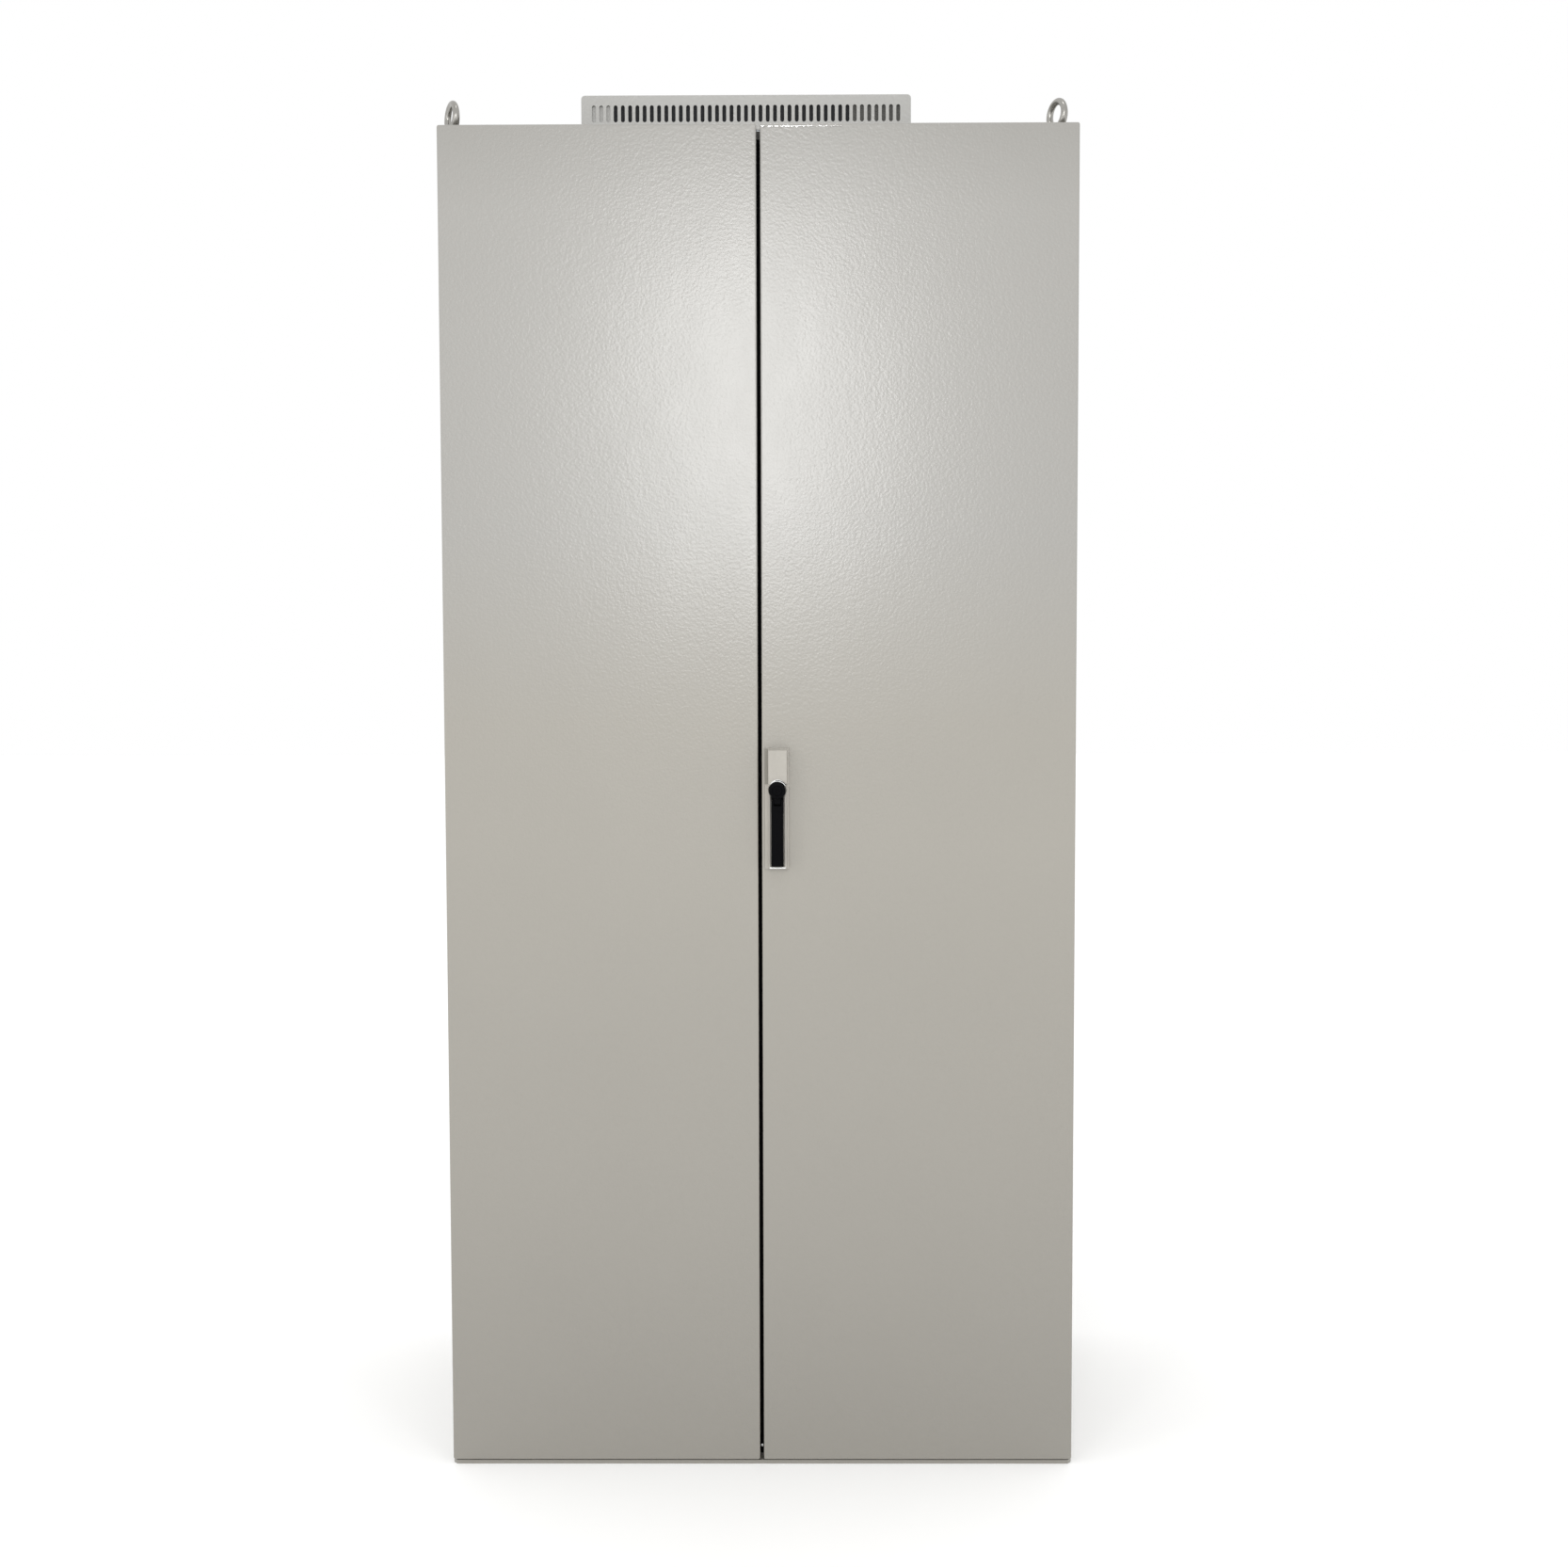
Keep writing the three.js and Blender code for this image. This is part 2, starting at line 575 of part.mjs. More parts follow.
// A strip on the corner post with three arms that reach forward to the fixed knuckles and their pins.
function hingeRail(side) {
  const near = 14;
  const far = 28;
  const armFar = 22;
  const stripFront = 18;
  const stripBack = FRAME_FRONT - GAP - HINGE_Y;
  const endMargin = 150;
  const knuckleRadius = 4.5;
  const pinEnd = KNUCKLE_HALF + 12;
  const strip = doorBlock(side, [near, stripFront, endMargin], [far, stripBack, BODY_HEIGHT - endMargin]);
  const armOutline = polygon([
    [0, -PIN_RADIUS], [-side * PIN_RADIUS, 0], [-side * armFar, stripFront], [-side * armFar, stripBack],
    [-side * near, stripBack], [0, PIN_RADIUS],
  ]);
  const hinges = HINGE_HEIGHTS.flatMap((height) => [
    upright(armOutline, height - KNUCKLE_HALF, height + KNUCKLE_HALF),
    cylinder('z', knuckleRadius, height - KNUCKLE_HALF, height + KNUCKLE_HALF, 12),
    cylinder('z', PIN_RADIUS, height - pinEnd, height + pinEnd, 8),
  ]);
  return join(strip, ...hinges);
}

// Handle. Everything in this group is placed from the turning axis, at the front of the door's skin.

const HOUSING_BOTTOM = -125;
const HOUSING_TOP = 67;
const HOUSING_LEFT = -20.5;
const HOUSING_RIGHT = 19;
const FACE_LEFT = -14;
const FACE_RIGHT = 15;
const FLANGE_FRONT = -5;
const TRAY_FRONT = -12.5;
const COVER_BOTTOM = 15; // the raised cover above the head
const COVER_FRONT = -20;
const RECESS_FLOOR = -5;
const HEAD_RADIUS = 13.2;
const HEAD_BACK = -14.5;
const SPINDLE_HOLE_RADIUS = 6;
const LEVER_HALF_WIDTH = 10.2;
const LEVER_TOP = -14.7;
const LEVER_END = -120;
const LEVER_PIN = { y: -18.5, z: -18, radius: 1.5, clearance: 0.6, halfLength: 7 };
const TONGUE_HALF_WIDTH = 5.5;
const RACK_OFFSET = 9;
const RACK_HALF_WIDTH = 2;

// A flange with a narrower tray on it, a recess for the lever, a round well for the head and a raised cover.
function handleHousing() {
  const draft = 0.8;
  const flangeOutline = polygon([
    [HOUSING_LEFT, -GAP], [HOUSING_RIGHT, -GAP],
    [HOUSING_RIGHT - draft, FLANGE_FRONT], [HOUSING_LEFT + draft, FLANGE_FRONT],
  ]);
  const risingTo = (front) => polygon([
    [FACE_LEFT - draft, -1], [FACE_RIGHT + draft, -1], [FACE_RIGHT, front], [FACE_LEFT, front],
  ]);
  const flange = upright(flangeOutline, HOUSING_BOTTOM, HOUSING_TOP);
  const tray = upright(risingTo(TRAY_FRONT), HOUSING_BOTTOM + 1, HOUSING_TOP - 1);
  const cover = upright(risingTo(COVER_FRONT), COVER_BOTTOM, HOUSING_TOP - 1);
  const recessSide = LEVER_HALF_WIDTH + 1.2;
  const recess = block([-recessSide, COVER_FRONT - 1, HOUSING_BOTTOM + 2.5], [recessSide, RECESS_FLOOR, 0]);
  const well = cylinder('y', HEAD_RADIUS + 1.4, COVER_FRONT - 1, RECESS_FLOOR, 24);
  const spindleHole = cylinder('y', SPINDLE_HOLE_RADIUS, RECESS_FLOOR - 1, 1, 12);
  return cut(join(flange, tray, cover), recess, well, spindleHole);
}

// Round head, its spindle through the door, and the pinion that drives the two lock rods.
function handleHead() {
  const neckRadius = 8;
  const spindleRadius = 4.5;
  const face = cylinder('y', HEAD_RADIUS, -HANDLE_PROUD, HEAD_BACK, 24);
  const neck = cylinder('y', neckRadius, HEAD_BACK - 0.5, RECESS_FLOOR - 0.6, 16);
  const spindle = cylinder('y', spindleRadius, RECESS_FLOOR - 1, ROD_BACK + 2, 8);
  const pinion = cylinder('y', PINION_RADIUS, ROD_BACK - ROD_THICKNESS - 1, ROD_BACK + 1, 20);
  const tongue = block([-TONGUE_HALF_WIDTH, LEVER_PIN.y - 2.5, LEVER_PIN.z - 4],
    [TONGUE_HALF_WIDTH, LEVER_PIN.y + 2.5, -8]);
  const boreRadius = LEVER_PIN.radius + LEVER_PIN.clearance;
  const bore = cylinder('x', boreRadius, -LEVER_PIN.halfLength, LEVER_PIN.halfLength, 12)
    .translate(0, LEVER_PIN.y, LEVER_PIN.z);
  return cut(join(face, neck, spindle, pinion, tongue), bore);
}

// A straight bar whose upper end forks around the head's tongue, with the pin across the fork.
function handleLever() {
  const front = -22.5;
  const back = -15;
  const profile = polygon([
    [back, LEVER_TOP], [front + 1.5, LEVER_TOP], [front, LEVER_TOP - 2.3], [front - 1, LEVER_END / 2],
    [front, LEVER_END + 3], [front + 2, LEVER_END], [back, LEVER_END],
  ]);
  const bar = sideways(profile, -LEVER_HALF_WIDTH, LEVER_HALF_WIDTH);
  const mouthSide = TONGUE_HALF_WIDTH + 0.7;
  const mouth = block([-mouthSide, front - 2, LEVER_PIN.z - 6.5], [mouthSide, back + 2, LEVER_TOP + 1]);
  const pin = cylinder('x', LEVER_PIN.radius, -LEVER_PIN.halfLength, LEVER_PIN.halfLength, 10)
    .translate(0, LEVER_PIN.y, LEVER_PIN.z);
  return join(cut(bar, mouth), pin);
}

// A steel channel behind the skin, open above and below for the rods and in front for the spindle.
function lockCase() {
  const side = 13.1;
  const halfHeight = 57.5;
  const wall = 1.5;
  const front = SHEET + GAP;
  const back = ROD_BACK + 6;
  const shell = block([-side, front, -halfHeight], [side, back, halfHeight]);
  const inside = block([-side + wall, front + wall, -halfHeight - 1],
    [side - wall, back - wall, halfHeight + 1]);
  const spindleHole = cylinder('y', SPINDLE_HOLE_RADIUS, 0, front + wall + 1, 12);
  return cut(shell, inside, spindleHole);
}

// A flat rod whose inner end steps aside to run past the pinion: to -X above it, to +X below it.
function lockRod(up) {
  const rackNear = up * -27;
  const rackFar = up * 88;
  const jog = up * 74;
  const side = up * ROD_HALF_WIDTH;
  const end = (up > 0 ? KEEPER_HEIGHTS[1] : KEEPER_HEIGHTS[0]) - HANDLE_Z;
  const rackInner = -up * (RACK_OFFSET - RACK_HALF_WIDTH);
  const rackOuter = -up * (RACK_OFFSET + RACK_HALF_WIDTH);
  const outline = polygon([
    [rackInner, rackNear], [rackOuter, rackNear], [rackOuter, rackFar], [-side, rackFar],
    [-side, end], [side, end], [side, jog], [rackInner, jog],
  ]);
  return frontal(outline, ROD_BACK - ROD_THICKNESS, ROD_BACK);
}

function addHandle(rightDoor) {
  const handle = groupAt(rightDoor, [HANDLE_X - HINGE_X, -HINGE_INSET, HANDLE_Z]);
  add(handle, 'handle_housing', handleHousing(), 'creamPlastic');
  add(handle, 'handle_head', handleHead(), 'blackPlastic');
  add(handle, 'handle_lever', handleLever(), 'blackPlastic');
  add(handle, 'lock_case', lockCase(), 'galvanised');
  add(handle, 'upper_lock_rod', lockRod(1), 'zinc');
  add(handle, 'lower_lock_rod', lockRod(-1), 'zinc');
}

function addDoors(model) {
  for (const [side, sideName] of [[-1, 'left'], [1, 'right']]) {
    const hingeAxis = groupAt(model, [side * HINGE_X, HINGE_Y, 0]);
    const panel = side > 0 ? cut(doorPanel(side), spindleHoleInDoor()) : doorPanel(side);
    add(hingeAxis, `${sideName}_door_panel`, panel, 'paint');
    add(hingeAxis, `${sideName}_door_gasket`, doorGasket(side), 'foam');
    add(hingeAxis, `${sideName}_door_frame`, doorFrame(side), 'galvanised');
    add(hingeAxis, `${sideName}_hinge_rail`, hingeRail(side), 'zinc');
    if (side > 0) {
      addHandle(hingeAxis);
    }
  }
}

// The drive on the mounting plate. Its group's origin is the bottom left rear corner of the chassis.

const HEAT_SINK = { width: 390, depth: 90, height: 560, base: 12, fin: 4, finCount: 13, bottom: 300 };
const CAPACITORS = { columns: 3, rows: 4, columnPitch: 90, rowPitch: 100, radius: 36, length: 110 };
const DRIVE_FAN_SIZE = 172;
const DRIVE_FAN_BORE = 78;
const DRIVE_FAN_DEPTH = 50;
const DRIVE_FAN_Y = -112;
const KEYPAD = { width: 84, height: 150, depth: 16, x: 188, z: 640 };
const KEY = { radius: 8, spacing: 34, height: 40, front: -3, back: 5.5 };

// A sheet-metal box open in front, with an air inlet under the fan and an outlet over the heat sink.
function driveChassis() {
  const wall = DRIVE_WALL;
  const front = -DRIVE_DEPTH + COVER_DEPTH;
  const middle = DRIVE_WIDTH / 2;
  const inletReach = 80;
  const outletReach = 170;
  const shell = block([0, front, 0], [DRIVE_WIDTH, 0, DRIVE_HEIGHT]);
  const inside = block([wall, front - 1, wall], [DRIVE_WIDTH - wall, -wall, DRIVE_HEIGHT - wall]);
  const airIn = block([middle - inletReach, DRIVE_FAN_Y - inletReach, -1],
    [middle + inletReach, DRIVE_FAN_Y + inletReach, wall + 1]);
  const airOut = block([middle - outletReach, -HEAT_SINK.depth, DRIVE_HEIGHT - wall - 1],
    [middle + outletReach, -20, DRIVE_HEIGHT + 1]);
  return cut(shell, inside, airIn, airOut);
}

// Fins that point to the mounting plate, on a base that carries the power modules.
function heatSink() {
  const { width, depth, height, base, fin, finCount } = HEAT_SINK;
  const pitch = (width - fin) / (finCount - 1);
  const whole = block([0, -depth, 0], [width, 0, height]);
  const channels = Array.from({ length: finCount - 1 }, (_, index) => (
    block([index * pitch + fin, base - depth, -1], [(index + 1) * pitch, 1, height + 1])));
  return cut(whole, ...channels);
}

// Round capacitors in rows on one carrier plate.
function capacitorBank() {
  const { columns, rows, columnPitch, rowPitch, radius, length } = CAPACITORS;
  const plate = block([0, 0, 0], [columns * columnPitch, 4, rows * rowPitch]);
  const cans = [];
  for (let row = 0; row < rows; row += 1) {
    for (let column = 0; column < columns; column += 1) {
      const can = cylinder('y', radius, -length, 1, 10);
      cans.push(can.translate((column + 0.5) * columnPitch, 0, (row + 0.5) * rowPitch));
    }
  }
  return join(plate, ...cans);
}

// A tray over the drive's front, with a window for the keypad and air slots along its foot.
function driveCover() {
  const wall = 2.5;
  const shell = block([0, -COVER_DEPTH, 0], [DRIVE_WIDTH, 0, DRIVE_HEIGHT]);
  const inside = block([wall, -COVER_DEPTH + wall, wall], [DRIVE_WIDTH - wall, 1, DRIVE_HEIGHT - wall]);
  const slotCount = 9;
  const slotPitch = 36;
  const slotWidth = 12;
  const slotBottom = 60;
  const slotTop = 160;
  const cutFront = -COVER_DEPTH - 1;
  const cutBack = -COVER_DEPTH + wall + 1;
  const window = block([KEYPAD.x, cutFront, KEYPAD.z],
    [KEYPAD.x + KEYPAD.width, cutBack, KEYPAD.z + KEYPAD.height]);
  const slots = Array.from({ length: slotCount }, (_, index) => {
    const middle = DRIVE_WIDTH / 2 + (index - (slotCount - 1) / 2) * slotPitch;
    return block([middle - slotWidth / 2, cutFront, slotBottom], [middle + slotWidth / 2, cutBack, slotTop]);
  });
  return cut(shell, inside, window, ...slots);
}

// Keypad body with a recessed display and two round wells for the run and stop keys.
function keypad() {
  const { width, height, depth } = KEYPAD;
  const margin = 0.5; // to the window in the cover
  const displayInset = 12;
  const displayBottom = 84;
  const displayTop = 134;
  const wellRadius = KEY.radius + 0.7;
  const wellDepth = 8;
  const body = block([margin, -depth, margin], [width - margin, 14, height - margin]);
  const display = block([displayInset, -depth - 1, displayBottom],
    [width - displayInset, -depth + 1.5, displayTop]);
  const wells = [-0.5, 0.5].map((step) => (
    cylinder('y', wellRadius, -depth - 1, -depth + wellDepth, 16)
      .translate(width / 2 + step * KEY.spacing, 0, KEY.height)));
  return cut(body, display, ...wells);
}

function key() {
  return cylinder('y', KEY.radius, KEY.front, KEY.back, 16);
}

function addDrive(model) {
  const left = DRIVE_X - DRIVE_WIDTH / 2;
  const drive = groupAt(model, [left, PLATE_FRONT - GAP, DRIVE_BOTTOM]);
  add(drive, 'drive_chassis', driveChassis(), 'galvanised');
  const sinkLeft = (DRIVE_WIDTH - HEAT_SINK.width) / 2;
  const bankLeft = (DRIVE_WIDTH - CAPACITORS.columns * CAPACITORS.columnPitch) / 2;
  const bankBack = -HEAT_SINK.depth - 12;
  add(drive, 'drive_heat_sink', heatSink(), 'aluminium', [sinkLeft, -DRIVE_WALL - GAP, HEAT_SINK.bottom]);
  add(drive, 'capacitor_bank', capacitorBank(), 'greyPlastic', [bankLeft, bankBack, HEAT_SINK.bottom + 100]);
  add(drive, 'drive_cover', driveCover(), 'creamPlastic', [0, -DRIVE_DEPTH + COVER_DEPTH - GAP, 0]);
  const fan = groupAt(drive, [DRIVE_WIDTH / 2, DRIVE_FAN_Y, DRIVE_WALL + GAP]);
  const housing = fanHousing(DRIVE_FAN_SIZE, DRIVE_FAN_BORE, DRIVE_FAN_DEPTH, 20);
  add(fan, 'drive_fan_housing', housing, 'blackPlastic');
  add(fan, 'drive_fan_rotor', fanRotor(DRIVE_FAN_BORE, 8, 46), 'greyPlastic');
  const coverFront = -DRIVE_DEPTH - GAP;
  const panel = groupAt(drive, [KEYPAD.x, coverFront, KEYPAD.z]);
  add(panel, 'drive_keypad', keypad(), 'greyPlastic');
  const [runX, stopX] = [-0.5, 0.5].map((step) => KEYPAD.width / 2 + step * KEY.spacing);
  add(panel, 'run_key', key(), 'green', [runX, -KEYPAD.depth, KEY.height]);
  add(panel, 'stop_key', key(), 'red', [stopX, -KEYPAD.depth, KEY.height]);
}

// Switchgear beside and below the drive, each piece placed from the middle of its back.

const BREAKER = { width: 140, height: 220, depth: 95, noseSize: 80, noseDepth: 110 };
const TOGGLE = { y: -66, tilt: 0.35, barrelRadius: 4.4 }; // the tilt is above the horizontal, when on
const CONTACTOR = { width: 120, height: 150, depth: 120, noseWidth: 70, noseHeight: 60, noseDepth: 135 };
const ARMATURE = { width: 24, height: 20, front: -132, back: -98 };
const FUSES = { width: 150, height: 180, baseDepth: 30, ribDepth: 75, pitch: 50, radius: 16, y: -50 };
const REACTOR = { leg: 40, window: 62, height: 230, depth: 60, coilWall: 26 };
const TERMINALS = { count: 10, pitch: 16, depth: 45, slotWidth: 3, slotDepth: 15, halfHeight: 30 };
const EARTH_BAR = { halfLength: 200, halfHeight: 15, front: -34, back: -28, holeCount: 9, holePitch: 30 };

function breakerBody() {
  const body = slab(BREAKER.width, BREAKER.height, -BREAKER.depth, 0);
  const nose = slab(BREAKER.noseSize, BREAKER.noseSize, -BREAKER.noseDepth, -BREAKER.depth + 5);
  const toggleSlot = slab(16, 52, -BREAKER.noseDepth - 1, TOGGLE.y + 6);
  const pivotBore = cylinder('x', TOGGLE.barrelRadius + 0.6, -9, 9, 12).translate(0, TOGGLE.y, 0);
  return cut(join(body, nose), toggleSlot, pivotBore);
}

// A toggle that turns about X through its own origin and points forward and up.
function breakerToggle() {
  const barrel = cylinder('x', TOGGLE.barrelRadius, -7, 7, 12);
  const stem = slab(12, 7, -54, -2);
  const cap = slab(20, 8, -74, -53);
  return join(barrel, stem, cap).rotateX(-TOGGLE.tilt);
}

function contactorBody() {
  const { width, height, depth, noseWidth, noseHeight, noseDepth } = CONTACTOR;
  const clearance = 0.6;
  const pocketWidth = 24;
  const pocketPitch = 38;
  const body = slab(width, height, -depth, 0);
  const nose = slab(noseWidth, noseHeight, -noseDepth, -depth + 2);
  const well = slab(ARMATURE.width + 2 * clearance, ARMATURE.height + 2 * clearance, -noseDepth - 1, -90);
  const pockets = [-1, 1].flatMap((end) => [-1, 0, 1].map((step) => (
    slab(pocketWidth, 24, -depth - 1, -80).translate(step * pocketPitch, 0, end * (height / 2 - 11)))));
  return cut(join(body, nose), well, ...pockets);
}

function contactorArmature() {
  return slab(ARMATURE.width, ARMATURE.height, ARMATURE.front, ARMATURE.back);
}

// Three fuse links in one open holder, kept apart by the holder's ribs.
function fuseBlock() {
  const { width, height, baseDepth, ribDepth, pitch, radius, y } = FUSES;
  const base = slab(width, height, -baseDepth, 0);
  const ribs = [-1.5, -0.5, 0.5, 1.5].map((step) => (
    slab(3, height, -ribDepth, -baseDepth + 1).translate(step * (pitch - 0.7), 0, 0)));
  const fuses = [-1, 0, 1].flatMap((step) => {
    const x = step * pitch;
    const link = cylinder('z', radius, -45, 45, 12).translate(x, y, 0);
    const blade = slab(10, 150, y - 3, y + 3).translate(x, 0, 0);
    const clips = [-1, 1].map((end) => slab(24, 20, y + 2, -baseDepth + 1).translate(x, 0, end * 70));
    return [link, blade, ...clips];
  });
  return join(base, ...ribs, ...fuses);
}

// Three-legged stack of laminations standing on the mounting plate.
function reactorCore() {
  const { leg, window, height, depth } = REACTOR;
  const side = 1.5 * leg + window;
  const stack = block([-side, -depth, 0], [side, 0, height]);
  const windows = [-1, 1].map((end) => (
    block([end * leg / 2, -depth - 1, leg], [end * (leg / 2 + window), 1, height - leg])));
  return cut(stack, ...windows);
}

function reactorCoil() {
  const { leg, height, depth, coilWall } = REACTOR;
  const inner = leg / 2 + 1;
  const outer = inner + coilWall;
  const bottom = leg + 4;
  const top = height - leg - 4;
  const winding = block([-outer, -depth - 1 - coilWall, bottom], [outer, 1 + coilWall, top]);
  return cut(winding, block([-inner, -depth - 1, bottom - 1], [inner, 1, top + 1]));
}

// Rail-mounted terminals: one body with a slot between each pair.
function terminalStrip() {
  const { count, pitch, depth, slotWidth, slotDepth, halfHeight } = TERMINALS;
  const body = block([0, -depth, -halfHeight], [count * pitch, 0, halfHeight]);
  const slots = Array.from({ length: count - 1 }, (_, index) => {
    const left = (index + 1) * pitch - slotWidth / 2;
    return block([left, -depth - 1, -halfHeight - 1], [left + slotWidth, slotDepth - depth, halfHeight + 1]);
  });
  return cut(body, ...slots);
}

function earthBar() {
  const { halfLength, halfHeight, front, back, holeCount, holePitch } = EARTH_BAR;
  const holeRadius = 5;
  const bar = block([-halfLength, front, -halfHeight], [halfLength, back, halfHeight]);
  const feet = [-1, 1].map((end) => (
    slab(30, 20, back - 1, 0).translate(end * (halfLength - 30), 0, 0)));
  const holes = Array.from({ length: holeCount }, (_, index) => (
    cylinder('y', holeRadius, front - 1, back + 1, 8)
      .translate((index - (holeCount - 1) / 2) * holePitch, 0, 0)));
  return cut(join(bar, ...feet), ...holes);
}

function addSwitchgear(model) {
  const back = PLATE_FRONT - GAP;
  const breaker = groupAt(model, [SWITCHGEAR_X, back, 1650]);
  add(breaker, 'main_breaker', breakerBody(), 'blackPlastic');
  add(breaker, 'breaker_toggle', breakerToggle(), 'greyPlastic', [0, TOGGLE.y, 0]);
  add(model, 'fuse_block', fuseBlock(), 'creamPlastic', [SWITCHGEAR_X, back, 1400]);
  const contactor = groupAt(model, [SWITCHGEAR_X, back, 1180]);
  add(contactor, 'main_contactor', contactorBody(), 'greyPlastic');
  add(contactor, 'contactor_armature', contactorArmature(), 'blackPlastic');
  const stripLeft = SWITCHGEAR_X - TERMINALS.count * TERMINALS.pitch / 2;
  add(model, 'terminal_strip', terminalStrip(), 'creamPlastic', [stripLeft, back, 860]);
  add(model, 'earth_bar', earthBar(), 'copper', [0, back, 170]);
  const reactor = groupAt(model, [DRIVE_X, back - REACTOR.coilWall - 2, 420]);
  add(reactor, 'reactor_core', reactorCore(), 'laminations');
  for (const step of [-1, 0, 1]) {
    const x = step * (REACTOR.leg + REACTOR.window);
    add(reactor, `reactor_coil_${step + 2}`, reactorCoil(), 'copper', [x, 0, 0]);
  }
}

const model = new THREE.Group();
model.name = 'variable_frequency_drive';
addFrame(model);
addRoof(model);
addDoors(model);
addDrive(model);
addSwitchgear(model);

export default model;
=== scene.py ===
"""Looks of a floor-standing variable frequency drive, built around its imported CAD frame.

Metres, +Z up, doors facing -Y. Places are worked out from the frame's boxes and joints.
"""
import json
import math
import random

import bmesh
import bpy
from mathutils import Matrix, Vector


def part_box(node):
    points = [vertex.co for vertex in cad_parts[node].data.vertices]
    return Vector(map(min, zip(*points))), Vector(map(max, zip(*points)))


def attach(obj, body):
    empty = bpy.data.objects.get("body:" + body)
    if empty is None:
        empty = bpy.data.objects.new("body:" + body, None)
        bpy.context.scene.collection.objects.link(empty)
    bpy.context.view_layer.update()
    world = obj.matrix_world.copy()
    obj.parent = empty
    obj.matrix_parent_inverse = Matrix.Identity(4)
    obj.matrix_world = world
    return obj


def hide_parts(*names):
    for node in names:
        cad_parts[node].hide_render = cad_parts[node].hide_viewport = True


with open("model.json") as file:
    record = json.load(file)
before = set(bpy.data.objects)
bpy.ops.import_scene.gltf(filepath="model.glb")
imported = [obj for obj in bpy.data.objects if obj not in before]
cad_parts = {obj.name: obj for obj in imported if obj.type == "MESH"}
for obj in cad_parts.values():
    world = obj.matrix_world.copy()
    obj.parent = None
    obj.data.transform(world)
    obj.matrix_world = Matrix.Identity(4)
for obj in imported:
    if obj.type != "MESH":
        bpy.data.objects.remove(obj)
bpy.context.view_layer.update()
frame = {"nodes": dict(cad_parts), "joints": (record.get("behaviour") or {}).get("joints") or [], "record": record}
nodes = frame["nodes"]
SLOTS = {row["node"]: row["material_slot"] for row in frame["record"]["subparts"]}
scene = bpy.context.scene
random.seed(7)

MM = 0.001
TO_FRONT, TO_REAR, TO_RIGHT = (0, -1, 0), (0, 1, 0), (1, 0, 0)
SIDES = ((-1, "left"), (1, "right"))
DOOR_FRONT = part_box("left_door_panel")[0].y
ROOF_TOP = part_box("roof_plate")[1].z
HINGE_HEIGHTS = [0.25, 1.065, 1.88]


def mm(*points):
    """Points given in millimetres, in metres."""
    return [tuple(value * MM for value in point) for point in points]


def joint_place(name):
    return next(Vector(joint["pos_m"]) for joint in frame["joints"] if joint["name"] == name)


def hinge_axis(side):
    return joint_place("left_door_hinge" if side < 0 else "right_door_hinge")


# ---------------- camera, floor and lights

def make_camera():
    """A view from a little above the handle, nearly square to the doors and looking slightly down."""
    distance, aside, height = 2.798, 0.055, 1.255
    pitch_down, turn_left, roll = math.radians(3.125), math.radians(0.347), math.radians(-0.14)
    data = bpy.data.cameras.new("camera")
    data.sensor_width = 36
    data.lens = 40.61
    camera = bpy.data.objects.new("camera", data)
    scene.collection.objects.link(camera)
    camera.location = (aside, DOOR_FRONT - distance, height)
    aim = (Matrix.Rotation(turn_left, 4, "Z") @ Matrix.Rotation(math.pi / 2 - pitch_down, 4, "X")
           @ Matrix.Rotation(roll, 4, "Z"))
    camera.rotation_euler = aim.to_euler()
    scene.camera = camera


def make_floor():
    """A wide pale floor that glows a little, so that it ends in the same white as the surround."""
    bpy.ops.mesh.primitive_plane_add(size=60, location=(0, 0, 0))
    floor = bpy.context.object
    floor.name = "floor"
    material = bpy.data.materials.new("pale_floor")
    material.use_nodes = True
    shader = material.node_tree.nodes["Principled BSDF"]
    shader.inputs["Base Color"].default_value = (0.93, 0.93, 0.925, 1)
    shader.inputs["Roughness"].default_value = 0.8
    shader.inputs["Emission Color"].default_value = (1, 1, 1, 1)
    shader.inputs["Emission Strength"].default_value = 0.16
    floor.data.materials.append(material)


def area_light(name, place, target, size, power):
    """A rectangular light of `size` metres (width, height) at a place, facing its target."""
    data = bpy.data.lights.new(name, "AREA")
    data.shape = "RECTANGLE"
    data.size, data.size_y = size
    data.energy = power
    light = bpy.data.objects.new(name, data)
    scene.collection.objects.link(light)
    light.location = place
    light.rotation_euler = (Vector(target) - Vector(place)).to_track_quat("-Z", "Y").to_euler()


def make_lights():
    """A white surround, a window mirrored beside the door gap, and strips above and at the left."""
    world = bpy.data.worlds.new("studio")
    world.use_nodes = True
    background = world.node_tree.nodes["Background"]
    background.inputs["Color"].default_value = (1, 1, 1, 1)
    background.inputs["Strength"].default_value = 1.0
    scene.world = world
    scene.view_settings.view_transform = "Standard"
    area_light("window", (-0.1, -3.9, 2.28), (0, 0, 1.7), (0.74, 1.3), 24)
    area_light("top_strip", (0.045, -1.0, 4.1), (0.045, -0.28, 2.1), (0.16, 0.14), 4)
    area_light("left_strip", (-3.4, -2.6, 2.2), (-0.5, -0.3, 1.6), (0.4, 1.8), 10)


# ---------------- materials

